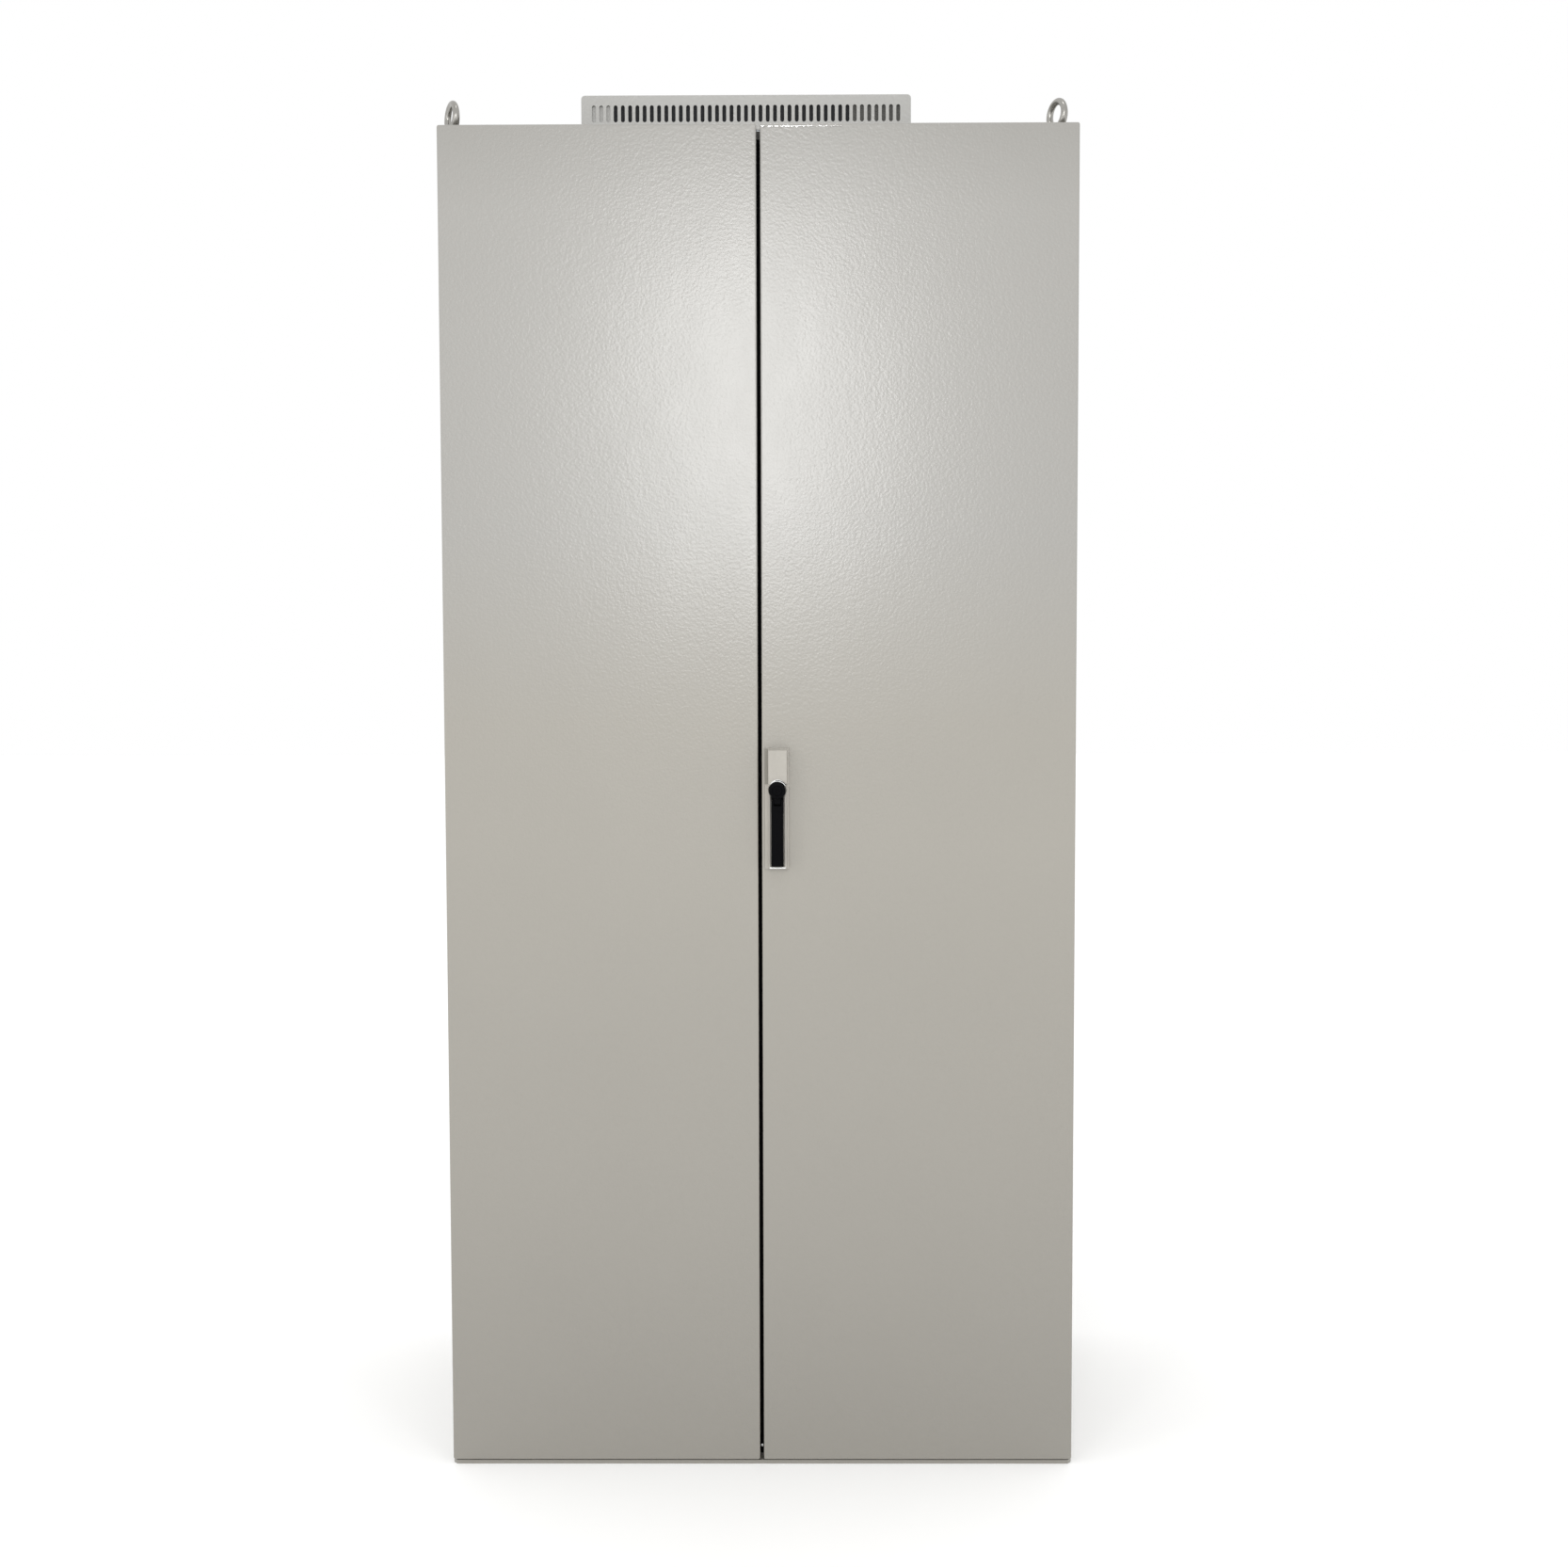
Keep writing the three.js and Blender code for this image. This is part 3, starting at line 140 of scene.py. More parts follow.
class Surface:
    """A Principled material with a short way to add nodes, in true metres on the piece itself."""

    def __init__(self, name, metallic=0.0, ior=1.5, coat=0.0, coat_roughness=0.3):
        self.material = bpy.data.materials.new(name)
        self.material.use_nodes = True
        self.tree = self.material.node_tree
        self.shader = self.tree.nodes["Principled BSDF"]
        self.shader.inputs["Metallic"].default_value = metallic
        self.shader.inputs["IOR"].default_value = ior
        self.shader.inputs["Coat Weight"].default_value = coat
        self.shader.inputs["Coat Roughness"].default_value = coat_roughness
        self.place = self.add("ShaderNodeTexCoord").outputs["Object"]

    def add(self, kind, inputs=None, **settings):
        made = self.tree.nodes.new(kind)
        for key, value in settings.items():
            setattr(made, key, value)
        for key, value in (inputs or {}).items():
            if isinstance(value, bpy.types.NodeSocket):
                self.tree.links.new(value, made.inputs[key])
            else:
                made.inputs[key].default_value = value
        return made

    def noise(self, size, detail=2.0, roughness=0.5, stretch=(1, 1, 1)):
        """Noise from 0 to 1 whose features are about `size` metres across."""
        scaled = self.add("ShaderNodeVectorMath", {0: self.place, 1: stretch}, operation="MULTIPLY")
        made = self.add("ShaderNodeTexNoise", {
            "Vector": scaled.outputs[0], "Scale": 1 / size, "Detail": detail, "Roughness": roughness})
        return made.outputs[0]

    def ramp(self, value, low, high, start=0.0, end=1.0):
        """Maps value from low..high to start..end, and holds it at the ends."""
        made = self.add("ShaderNodeMapRange", {
            "Value": value, "From Min": low, "From Max": high, "To Min": start, "To Max": end})
        return made.outputs[0]

    def blend(self, amount, first, second):
        """The first colour where amount is 0, and the second where it is 1."""
        made = self.add("ShaderNodeMix", data_type="RGBA")
        for index, value in ((0, amount), (6, first), (7, second)):
            if isinstance(value, bpy.types.NodeSocket):
                self.tree.links.new(value, made.inputs[index])
            else:
                made.inputs[index].default_value = value
        return made.outputs[2]

    def link(self, socket, value):
        self.tree.links.new(value, self.shader.inputs[socket])

    def bump(self, height, strength, distance, below=None):
        inputs = {"Height": height, "Strength": strength, "Distance": distance}
        if below is not None:
            inputs["Normal"] = below
        return self.add("ShaderNodeBump", inputs).outputs[0]


def rgb(red, green, blue):
    """An sRGB colour, 0 to 255, as the linear one that a shader takes."""
    def linear(value):
        value /= 255
        return value / 12.92 if value <= 0.04045 else ((value + 0.055) / 1.055) ** 2.4
    return (linear(red), linear(green), linear(blue), 1)


# A darker tone of a colour, used for real marks and for painted shade alike.
def darker_tone(colour, share):
    return tuple(share * value for value in colour[:3]) + (1,)


def powder_coat(name, colour, top_lit_colour, floor_shade_share, coat_roughness=0.22):
    """Satin powder coat with orange peel, faint clouds, specks and wipe marks.

    It is `colour` below 1.2 m and the second colour above 1.5 m, a painted tint of the light from above;
    it is darker from 2.0 m up, painted shade under the roof's edge, and darkens toward the floor by the
    given share, painted shade near the floor.
    """
    coat = Surface(name, ior=1.55, coat=1.0, coat_roughness=coat_roughness)
    cloud = coat.ramp(coat.noise(0.35, 3), 0.3, 0.7)
    base = coat.blend(cloud, colour, darker_tone(colour, 0.97))
    speckle = coat.ramp(coat.noise(0.0022, 1), 0.66, 0.76, 0, 0.3)
    base = coat.blend(speckle, base, darker_tone(colour, 0.86))
    height = coat.add("ShaderNodeSeparateXYZ", {0: coat.place}).outputs["Z"]
    # The paint's own colour below 1.2 m, the cooler colour above 1.5 m: painted tint of the light from above.
    top_light_fade = coat.ramp(height, 1.2, 1.5, 1, 0)
    base = coat.blend(top_light_fade, top_lit_colour, base)
    # Darker from 2.0 m up: painted shade under the roof's edge.
    shade = coat.ramp(height, 2.0, 2.13, 0, 0.2)
    base = coat.blend(shade, base, darker_tone(colour, 0.5))
    # Darker toward the floor: painted shade near the floor.
    floor_shade = coat.ramp(height, 0.1, 1.0, floor_shade_share, 0)
    base = coat.blend(floor_shade, base, darker_tone(colour, 0.5))
    coat.link("Base Color", base)
    wipes = coat.noise(0.09, 4, 0.62, (1.0, 1.0, 0.45))
    coat.link("Roughness", coat.ramp(wipes, 0.35, 0.68, 0.31, 0.39))
    peel = coat.bump(coat.noise(0.0042, 1.5), 0.5, 0.0005)
    dents = coat.bump(coat.noise(0.22, 1), 0.25, 0.0006, peel)
    coat.link("Normal", dents)
    coat.link("Coat Normal", dents)
    return coat.material


def zinc(name, colour, grain):
    """Bright zinc plate or galvanised sheet: soft spangle, fine scratches and uneven gloss."""
    metal = Surface(name, metallic=1.0)
    spangle = metal.add("ShaderNodeTexVoronoi", {"Vector": metal.place, "Scale": 1 / grain})
    patch = metal.ramp(spangle.outputs["Color"], 0, 1)
    base = metal.blend(patch, colour, darker_tone(colour, 0.82))
    stain = metal.ramp(metal.noise(0.03, 5, 0.7), 0.55, 0.8, 0, 0.45)
    base = metal.blend(stain, base, darker_tone(colour, 0.55))
    metal.link("Base Color", base)
    gloss = metal.ramp(metal.noise(0.006, 4, 0.7), 0.3, 0.7, 0.17, 0.34)
    metal.link("Roughness", gloss)
    scratches = metal.noise(0.0008, 3, 0.7, (1, 1, 0.08))
    metal.link("Normal", metal.bump(scratches, 0.15, 0.0001))
    return metal.material


def moulded(name, colour, gloss, ior=1.46, wear=0.25):
    """Moulded plastic: fine spark-eroded grain, uneven gloss and paler worn patches."""
    plastic = Surface(name, ior=ior)
    worn = plastic.ramp(plastic.noise(0.025, 4, 0.65), 0.5, 0.75, 0, wear)
    lighter = tuple(min(1, value * 1.35 + 0.004) for value in colour[:3]) + (1,)
    plastic.link("Base Color", plastic.blend(worn, colour, lighter))
    plastic.link("Roughness", plastic.ramp(plastic.noise(0.012, 4, 0.6), 0.3, 0.7, gloss, gloss + 0.14))
    plastic.link("Normal", plastic.bump(plastic.noise(0.0007, 2), 0.3, 0.00012))
    return plastic.material


def foam(name, dark, light):
    """Closed-cell foam: matt, with open pores."""
    seal = Surface(name, ior=1.4)
    pores = seal.add("ShaderNodeTexVoronoi", {"Vector": seal.place, "Scale": 900})
    depth = seal.ramp(pores.outputs["Distance"], 0, 0.6)
    seal.link("Base Color", seal.blend(depth, dark, light))
    seal.link("Roughness", seal.ramp(depth, 0, 1, 1.0, 0.85))
    seal.link("Normal", seal.bump(depth, 0.6, 0.0004))
    return seal.material


def matt_black(name):
    """Matt black paint with fine texture and a little dust."""
    paint = Surface(name, ior=1.2)
    dust = paint.ramp(paint.noise(0.05, 5, 0.7), 0.5, 0.8, 0, 0.3)
    paint.link("Base Color", paint.blend(dust, rgb(5, 5, 6), rgb(20, 20, 20)))
    paint.link("Roughness", paint.ramp(dust, 0, 0.3, 0.8, 1.0))
    paint.link("Normal", paint.bump(paint.noise(0.001, 2), 0.3, 0.0003))
    return paint.material


def glass_face(name):
    """A dark display under smooth glass, with a faint grid of cells and finger marks."""
    glass = Surface(name, ior=1.5, coat=1.0, coat_roughness=0.03)
    cells = glass.add("ShaderNodeTexBrick", {
        "Vector": glass.place, "Scale": 260.0, "Color1": rgb(24, 34, 36), "Color2": rgb(27, 38, 40),
        "Mortar": rgb(14, 20, 22), "Mortar Size": 0.05}, offset=0.0)
    glass.link("Base Color", cells.outputs["Color"])
    glass.link("Roughness", glass.ramp(glass.noise(0.012, 4, 0.6), 0.35, 0.7, 0.08, 0.3))
    return glass.material


def copper(name):
    """Bare copper with a brushed grain and brown tarnish."""
    metal = Surface(name, metallic=1.0)
    tarnish = metal.ramp(metal.noise(0.03, 5, 0.7), 0.4, 0.75)
    metal.link("Base Color", metal.blend(tarnish, rgb(201, 128, 86), rgb(112, 62, 40)))
    metal.link("Roughness", metal.ramp(tarnish, 0, 1, 0.28, 0.5))
    metal.link("Normal", metal.bump(metal.noise(0.0006, 3, 0.7, (0.05, 1, 1)), 0.2, 0.0001))
    return metal.material


def laminations(name):
    """Varnished sheet laminations stacked in Y, 0.5 mm each."""
    core = Surface(name, metallic=0.6)
    wave = core.add("ShaderNodeTexWave", {"Vector": core.place, "Scale": 310, "Distortion": 0.15},
                    bands_direction="Y")
    core.link("Base Color", core.blend(wave.outputs["Fac"], rgb(46, 47, 52), rgb(92, 88, 84)))
    core.link("Roughness", core.ramp(core.noise(0.02, 4), 0.3, 0.7, 0.35, 0.6))
    core.link("Normal", core.bump(wave.outputs["Fac"], 0.5, 0.0002))
    return core.material


def make_materials():
    # The paint's own colour, its cooler copy for the top (a painted tint of the light from above), and the hood's.
    paint_colour, top_lit_colour, hood = rgb(156, 152, 143), rgb(155, 153, 148), rgb(175, 174, 170)
    return {
        "cabinet_paint": powder_coat("cabinet_paint", paint_colour, top_lit_colour, 0.46),
        "gloss_edge": powder_coat("gloss_edge", paint_colour, top_lit_colour, 0.46, coat_roughness=0.06),
        "hood_paint": powder_coat("hood_paint", hood, hood, 0.0),
        # Black paint on the keepers, the centre post and the upper keeper's screws is painted shade in the gap
        # between the doors.
        "black_paint": matt_black("black_paint"),
        "galvanised_steel": zinc("galvanised_steel", rgb(176, 180, 183), 0.012),
        "zinc_plate": zinc("zinc_plate", rgb(168, 166, 161), 0.05),
        # Near-white metal for the handle's collar and sill and the lower keeper's screws: painted highlights.
        "highlight_metal": zinc("highlight_metal", rgb(238, 239, 238), 0.05),
        "cream_plastic": moulded("cream_plastic", rgb(172, 168, 160), 0.34),
        # A darker copy of the housing's plastic: painted shade beside the handle's cover.
        "flange_shade_plastic": moulded("flange_shade_plastic", rgb(140, 137, 129), 0.5, ior=1.3),
        "black_plastic": moulded("black_plastic", rgb(3, 3, 5), 0.3, ior=1.14, wear=0.15),
        "grey_plastic": moulded("grey_plastic", rgb(92, 96, 100), 0.42),
        "foam_seal": foam("foam_seal", rgb(14, 14, 15), rgb(44, 45, 47)),
        # A paler grey foam: painted light behind the hood's right slots and painted shade at the top of the door
        # gap.
        "painted_light_and_shade_mat": foam("painted_light_and_shade_mat", rgb(52, 51, 50), rgb(96, 95, 92)),
        "display_glass": glass_face("display_glass"),
        "aluminium": zinc("aluminium", rgb(190, 192, 194), 0.004),
        "copper": copper("copper"),
        "laminated_core": laminations("laminated_core"),
        "green_key": moulded("green_key", rgb(38, 132, 74), 0.22),
        "red_key": moulded("red_key", rgb(176, 38, 28), 0.22),
    }


# ---------------- CAD nodes that stay

def bevel(target, width):
    made = target.modifiers.new("soft_edges", "BEVEL")
    made.width = width
    made.segments = 2
    made.limit_method = "ANGLE"
    made.angle_limit = math.radians(40)
    made.harden_normals = False


USUAL_EDGE, SHEET_EDGE = 0.8 * MM, 0.5 * MM
OTHER_EDGES = {
    "cabinet_paint": 1.2 * MM, "black_paint": 0.6 * MM, "galvanised_steel": 0.6 * MM, "zinc_plate": 0.5 * MM,
    "cream_plastic": 1.5 * MM, "foam_seal": 1.5 * MM, "aluminium": 0.4 * MM,
}
FLAT_SHEETS = {"left_side_panel", "right_side_panel", "rear_panel", "gland_plate", "roof_plate"}


def finish_cad_nodes(materials):
    for name, slot in SLOTS.items():
        node = nodes[name]
        node.data.materials.clear()
        node.data.materials.append(materials[slot])
        bevel(node, SHEET_EDGE if name in FLAT_SHEETS else OTHER_EDGES.get(slot, USUAL_EDGE))


# ---------------- mesh helpers

def mesh_of(built):
    """Turns a bmesh into a mesh with its faces pointing out."""
    bmesh.ops.recalc_face_normals(built, faces=built.faces)
    mesh = bpy.data.meshes.new("mesh")
    built.to_mesh(mesh)
    built.free()
    return mesh


def skin(loops, closed_ring=False):
    """A mesh through loops of points: its ends are capped, or joined to each other in a closed ring."""
    built = bmesh.new()
    rows = [[built.verts.new(point) for point in loop] for loop in loops]
    steps = len(rows[0])
    for first, second in zip(rows, rows[1:] + (rows[:1] if closed_ring else [])):
        for index in range(steps):
            after = (index + 1) % steps
            built.faces.new((first[index], first[after], second[after], second[index]))
    if not closed_ring:
        built.faces.new(rows[0][::-1])
        built.faces.new(rows[-1])
    return mesh_of(built)


def full_turn(steps):
    return [math.tau * index / steps for index in range(steps)]


def evenly(first, last, count):
    return [first + (last - first) * index / (count - 1) for index in range(count)]


def loft(rings, steps=32):
    """A closed skin about Z through rings of (radius, height); a radius may be a function of the angle."""
    loops = []
    for radius, height in rings:
        sizes = [(radius(angle) if callable(radius) else radius, angle) for angle in full_turn(steps)]
        loops.append([(size * math.cos(angle), size * math.sin(angle), height) for size, angle in sizes])
    return skin(loops)


def ring_tube(radius, half_across, half_along, steps, around):
    """A ring about Z whose tube is half_across thick, and half_along(turn) tall on each side of z = 0."""
    loops = []
    for turn in full_turn(steps):
        reaches = [(radius + half_across * math.cos(angle), angle) for angle in full_turn(around)]
        loops.append([(reach * math.cos(turn), reach * math.sin(turn), half_along(turn) * math.sin(angle))
                      for reach, angle in reaches])
    return skin(loops, closed_ring=True)


def superellipse(half_x, half_y, power):
    """The radius at each angle of a box-like round outline."""
    def radius(angle):
        across, along = abs(math.cos(angle)) / half_x, abs(math.sin(angle)) / half_y
        return (across ** power + along ** power) ** (-1 / power)
    return radius


def hexagon(across_flats):
    """The radius at each angle of a hexagon."""
    def radius(angle):
        return across_flats / 2 / math.cos((angle % (math.pi / 3)) - math.pi / 6)
    return radius


def rounded_box(low, high, radius):
    """A box between two corners with edges of that radius, or sharp ones for 0."""
    built = bmesh.new()
    bmesh.ops.create_cube(built, size=1)
    for vert in built.verts:
        vert.co = [near + (share + 0.5) * (far - near) for near, far, share in zip(low, high, vert.co)]
    if radius > 0:
        bmesh.ops.bevel(built, geom=list(built.edges), offset=radius, segments=2,
                        profile=0.5, affect="EDGES", clamp_overlap=True)
    return mesh_of(built)


def sheet_with_holes(outlines, thickness):
    """A flat sheet in local XY, from z = 0 up; the first outline is its edge and the others are holes."""
    curve = bpy.data.curves.new("sheet", "CURVE")
    curve.dimensions = "2D"
    curve.fill_mode = "BOTH"
    curve.extrude = thickness / 2
    for outline in outlines:
        spline = curve.splines.new("POLY")
        spline.points.add(len(outline) - 1)
        for point, (across, up) in zip(spline.points, outline):
            point.co = (across, up, 0, 1)
        spline.use_cyclic_u = True
    holder = bpy.data.objects.new("sheet", curve)
    scene.collection.objects.link(holder)
    mesh = bpy.data.meshes.new_from_object(holder)
    bpy.data.objects.remove(holder)
    mesh.transform(Matrix.Translation((0, 0, thickness / 2)))
    built = bmesh.new()
    built.from_mesh(mesh)
    bmesh.ops.remove_doubles(built, verts=built.verts, dist=1e-6)
    return mesh_of(built)


def arc(center, radius, start, end, steps):
    return [(center[0] + radius * math.cos(angle), center[1] + radius * math.sin(angle))
            for angle in evenly(start, end, steps + 1)]


def rounded_rectangle(low, high, radius):
    corners = [(high[0] - radius, high[1] - radius), (low[0] + radius, high[1] - radius),
               (low[0] + radius, low[1] + radius), (high[0] - radius, low[1] + radius)]
    return [point for turn, corner in enumerate(corners)
            for point in arc(corner, radius, turn * math.pi / 2, (turn + 1) * math.pi / 2, 5)]


def obround(center_x, low, high, radius):
    """The outline of an upright slot with round ends."""
    top = arc((center_x, high - radius), radius, 0, math.pi, 6)
    return top + arc((center_x, low + radius), radius, math.pi, math.tau, 6)


def facing(place, outward, spin=0.0):
    """Puts a mesh built about +Z at a place, with its Z pointing outward."""
    turn = Vector(outward).to_track_quat("Z", "Y").to_matrix().to_4x4()
    return Matrix.Translation(place) @ turn @ Matrix.Rotation(spin, 4, "Z")


FRONT_VIEW = Matrix.Rotation(math.pi / 2, 4, "X")  # local Y points up and local Z to the front


def joined(*meshes):
    built = bmesh.new()
    for mesh in meshes:
        built.from_mesh(mesh)
    return mesh_of(built)


def copies(mesh, matrices):
    built = bmesh.new()
    for matrix in matrices:
        copy = mesh.copy()
        copy.transform(matrix)
        built.from_mesh(copy)
        bpy.data.meshes.remove(copy)
    return mesh_of(built)


def moved(mesh, matrix):
    mesh.transform(matrix)
    return mesh


def combined(mesh, *steps):
    """Applies boolean steps to a mesh; a step is ("DIFFERENCE" or "UNION", other mesh)."""
    base = bpy.data.objects.new("base", mesh)
    scene.collection.objects.link(base)
    tools = []
    for operation, other in steps:
        tool = bpy.data.objects.new("tool", other)
        scene.collection.objects.link(tool)
        tools.append(tool)
        change = base.modifiers.new("combine", "BOOLEAN")
        change.operation = operation
        change.solver = "EXACT"
        change.object = tool
    bpy.context.view_layer.update()
    result = bpy.data.meshes.new_from_object(base.evaluated_get(bpy.context.evaluated_depsgraph_get()))
    for helper in [base, *tools]:
        bpy.data.objects.remove(helper)
    return result


def piece(name, mesh, finish, body, slot=None, edge=0.0, sharp=35, replaces=()):
    """Adds a mesh as a piece that rides on a body, with soft edges `edge` metres wide."""
    mesh.name = name
    mesh.materials.clear()
    mesh.materials.append(MATERIALS[finish])
    mesh.shade_smooth()
    mesh.set_sharp_from_angle(angle=math.radians(sharp))
    made = bpy.data.objects.new(name, mesh)
    scene.collection.objects.link(made)
    if edge > 0:
        bevel(made, edge)
    flat_faces = made.modifiers.new("flat_faces", "WEIGHTED_NORMAL")
    flat_faces.keep_sharp = True
    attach(made, body)
    slot or finish
    if replaces:
        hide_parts(*replaces)


# ---------------- fasteners

def pan_screw(radius):
    """A low domed head with a hexagon socket, standing on z = 0."""
    socket = hexagon(radius * 0.95)
    dome = [(radius, -0.2 * radius), (radius, 0.12 * radius), (0.96 * radius, 0.3 * radius),
            (0.82 * radius, 0.48 * radius), (0.6 * radius, 0.58 * radius)]
    return loft(dome + [(socket, 0.58 * radius), (socket, 0.1 * radius)], 24)


def hex_bolt(across_flats, height):
    """A hexagon head on a washer, standing on z = 0."""
    washer = loft([(0.96 * across_flats, -0.2 * MM), (0.98 * across_flats, 0.8 * MM),
                   (0.94 * across_flats, 1.2 * MM)], 24)
    chamfer = 0.12 * across_flats
    head = loft([(hexagon(across_flats), 1 * MM), (hexagon(across_flats), height - chamfer / 2),
                 (0.5 * across_flats - chamfer / 3, height)], 24)
    return joined(washer, head)


def flush_screw():
    """A countersunk head with a hexagon socket, a hair below the face it sits in."""
    socket = hexagon(3.4 * MM)
    head = mm((2.5, -1.2), (2.7, -0.95), (4.3, -0.2), (4.1, -0.1))
    return loft(head + [(socket, -0.1 * MM), (socket, -0.8 * MM)], 24)


def turned_at_random(places, outward):
    return [facing(place, outward, random.uniform(0, math.tau)) for place in places]


def screws(name, places, outward, radius, body, finish="zinc_plate"):
    slot = "zinc_plate" if finish == "highlight_metal" else finish
    piece(name, copies(pan_screw(radius), turned_at_random(places, outward)), finish, body, slot)


def bolts(name, places, outward, across_flats, body):
    bolt = hex_bolt(across_flats, 0.6 * across_flats)
    piece(name, copies(bolt, turned_at_random(places, outward)), "zinc_plate", body)


# ---------------- doors

DOOR_SHEET, DOOR_LIP = 2 * MM, 8 * MM


def door_pan(node):
    """A folded door: flat front, rounded fold, rim, and a narrow lip turned inward at the back."""
    low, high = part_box(node)
    fold, corner = 2.2 * MM, 3.4 * MM
    depth = high.y - low.y
    profile = [(fold + 1 * MM, 0)]
    profile += [(fold * (1 - math.sin(turn)), fold * (1 - math.cos(turn)))
                for turn in evenly(0, math.pi / 2, 6)]
    profile += [(0, depth - 0.6 * MM), (0.6 * MM, depth), (DOOR_LIP - 0.4 * MM, depth),
                (DOOR_LIP, depth - 0.4 * MM), (DOOR_LIP, depth - DOOR_SHEET),
                (DOOR_SHEET, depth - DOOR_SHEET), (DOOR_SHEET, DOOR_SHEET)]
    loops = []
    for inset, back in profile:
        outline = rounded_rectangle((low.x + inset, low.z + inset), (high.x - inset, high.z - inset),
                                    max(corner - inset, 0.4 * MM))
        loops.append([(x, low.y + back, z) for x, z in outline])
    return skin(loops)


def hinge_notches(side):
    """The cuts in a door's rim through which the fixed hinge arms reach."""
    axis = hinge_axis(side)
    near, far = sorted((axis.x + side * 9 * MM, axis.x - side * 8 * MM))
    return [("DIFFERENCE", rounded_box((near, axis.y - 5.5 * MM, height - 12 * MM),
                                       (far, axis.y + 18 * MM, height + 12 * MM), 0))
            for height in HINGE_HEIGHTS]


def make_doors():
    for side, name in SIDES:
        cuts = hinge_notches(side)
        if side > 0:
            spindle = loft(mm((7, -10), (7, 10)))
            cuts.append(("DIFFERENCE", moved(spindle, facing(HANDLE, TO_FRONT))))
        panel = combined(door_pan(f"{name}_door_panel"), *cuts)
        piece(f"{name}_door_pan", panel, "cabinet_paint", f"{name}_door", replaces=[f"{name}_door_panel"])


def make_paint_bead():
    """The bead of thick glossy paint along the right door's top fold, next to the gap."""
    low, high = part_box("right_door_panel")
    length, thickness, height, lean = 126 * MM, 1 * MM, 3.8 * MM, math.radians(26.4)
    bead = rounded_box((0, -thickness / 2, -height / 2), (length, thickness / 2, height / 2), 0.2 * MM)
    place = Matrix.Translation((low.x + 1.5 * MM, low.y + 0.6 * MM, high.z - 4 * MM))
    bead.transform(place @ Matrix.Rotation(-lean, 4, "X"))
    piece("right_door_paint_bead", bead, "gloss_edge", "right_door", slot="cabinet_paint")


# ---------------- roof hood

HOOD_CORNER = 6 * MM
SLOT_COUNT, SLOT_PITCH = 43, 11.65 * MM
SLOT_RADIUS, SLOT_BOTTOM, SLOT_TOP = 3.1 * MM, 33 * MM, 60 * MM
CLOSED_SLOTS, DUSTY_SLOTS = 3, 7


def hood_outline(low, high):
    """A rectangle standing on y = 0 with both upper corners rounded."""
    side, top = (high.x - low.x) / 2, high.z - low.z
    right = arc((side - HOOD_CORNER, top - HOOD_CORNER), HOOD_CORNER, 0, math.pi / 2, 8)
    left = arc((HOOD_CORNER - side, top - HOOD_CORNER), HOOD_CORNER, math.pi / 2, math.pi, 8)
    return [(side, 0), *right, *left, (-side, 0)]


def slot_middle(index):
    return (index - (SLOT_COUNT - 1) / 2) * SLOT_PITCH


def make_hood():
    for name in ("hood_front_grille", "hood_rear_grille"):
        low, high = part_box(name)
        slots = [obround(slot_middle(index), SLOT_BOTTOM, SLOT_TOP, SLOT_RADIUS)
                 for index in range(SLOT_COUNT)]
        grille = sheet_with_holes([hood_outline(low, high), *slots], high.y - low.y)
        grille.transform(Matrix.Translation(((low.x + high.x) / 2, high.y, low.z)) @ FRONT_VIEW)
        piece(f"{name}_plate", grille, "hood_paint", "cabinet", edge=0.4 * MM, replaces=[name])
    make_hood_lining()
    make_hood_screws()


def make_hood_lining():
    """Filter mat behind the front slots, paler at its right end, and a painted tab beyond its left end.
    The paler end is painted light from the hood's side vents, seen through the slots.
    """
    low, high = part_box("hood_front_grille")
    middle = (low.x + high.x) / 2
    mat_left = middle + slot_middle(CLOSED_SLOTS - 0.5)
    mat_right = middle + slot_middle(SLOT_COUNT - DUSTY_SLOTS - 0.5)
    bottom, top = low.z + 20 * MM, low.z + 68 * MM
    # The paler mat at the right end is painted light from the hood's side vents.
    for name, finish, start, end in (("hood_filter_mat", "foam_seal", mat_left, mat_right),
                                     ("hood_lit_mat", "painted_light_and_shade_mat", mat_right + 0.5 * MM, high.x - 3 * MM)):
        mat = rounded_box((start, high.y + 1.5 * MM, bottom), (end, high.y + 9 * MM, top), 1.5 * MM)
        piece(name, mat, finish, "cabinet", slot="foam_seal")
    tab = rounded_box((low.x + 3 * MM, high.y + 2.2 * MM, bottom),
                      (mat_left - 0.5 * MM, high.y + 4.2 * MM, top), 0.4 * MM)
    piece("hood_left_return", tab, "hood_paint", "cabinet")


def make_hood_screws():
    radius, inset = 3.6 * MM, 14 * MM
    low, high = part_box("hood_cover")
    lengthways = evenly(low.y + 40 * MM, high.y - 40 * MM, 3)
    for name, x, outward in (("left", low.x, (-1, 0, 0)), ("right", high.x, TO_RIGHT)):
        places = [(x, y, low.z + inset) for y in lengthways]
        screws(f"hood_{name}_screws", places, outward, radius, "cabinet")
    low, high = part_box("hood_rear_grille")
    corners = [(x, high.y, z) for x in (low.x + 16 * MM, high.x - 16 * MM)
               for z in (low.z + inset, high.z - inset)]
    screws("hood_rear_screws", corners, TO_REAR, radius, "cabinet")


# ---------------- lifting eye bolts

EYE_TURNS = {"front_left": 0.51, "front_right": 0.44, "rear_left": -0.35, "rear_right": -0.2}
EYE_RING, EYE_CENTER = 20.5 * MM, 25 * MM


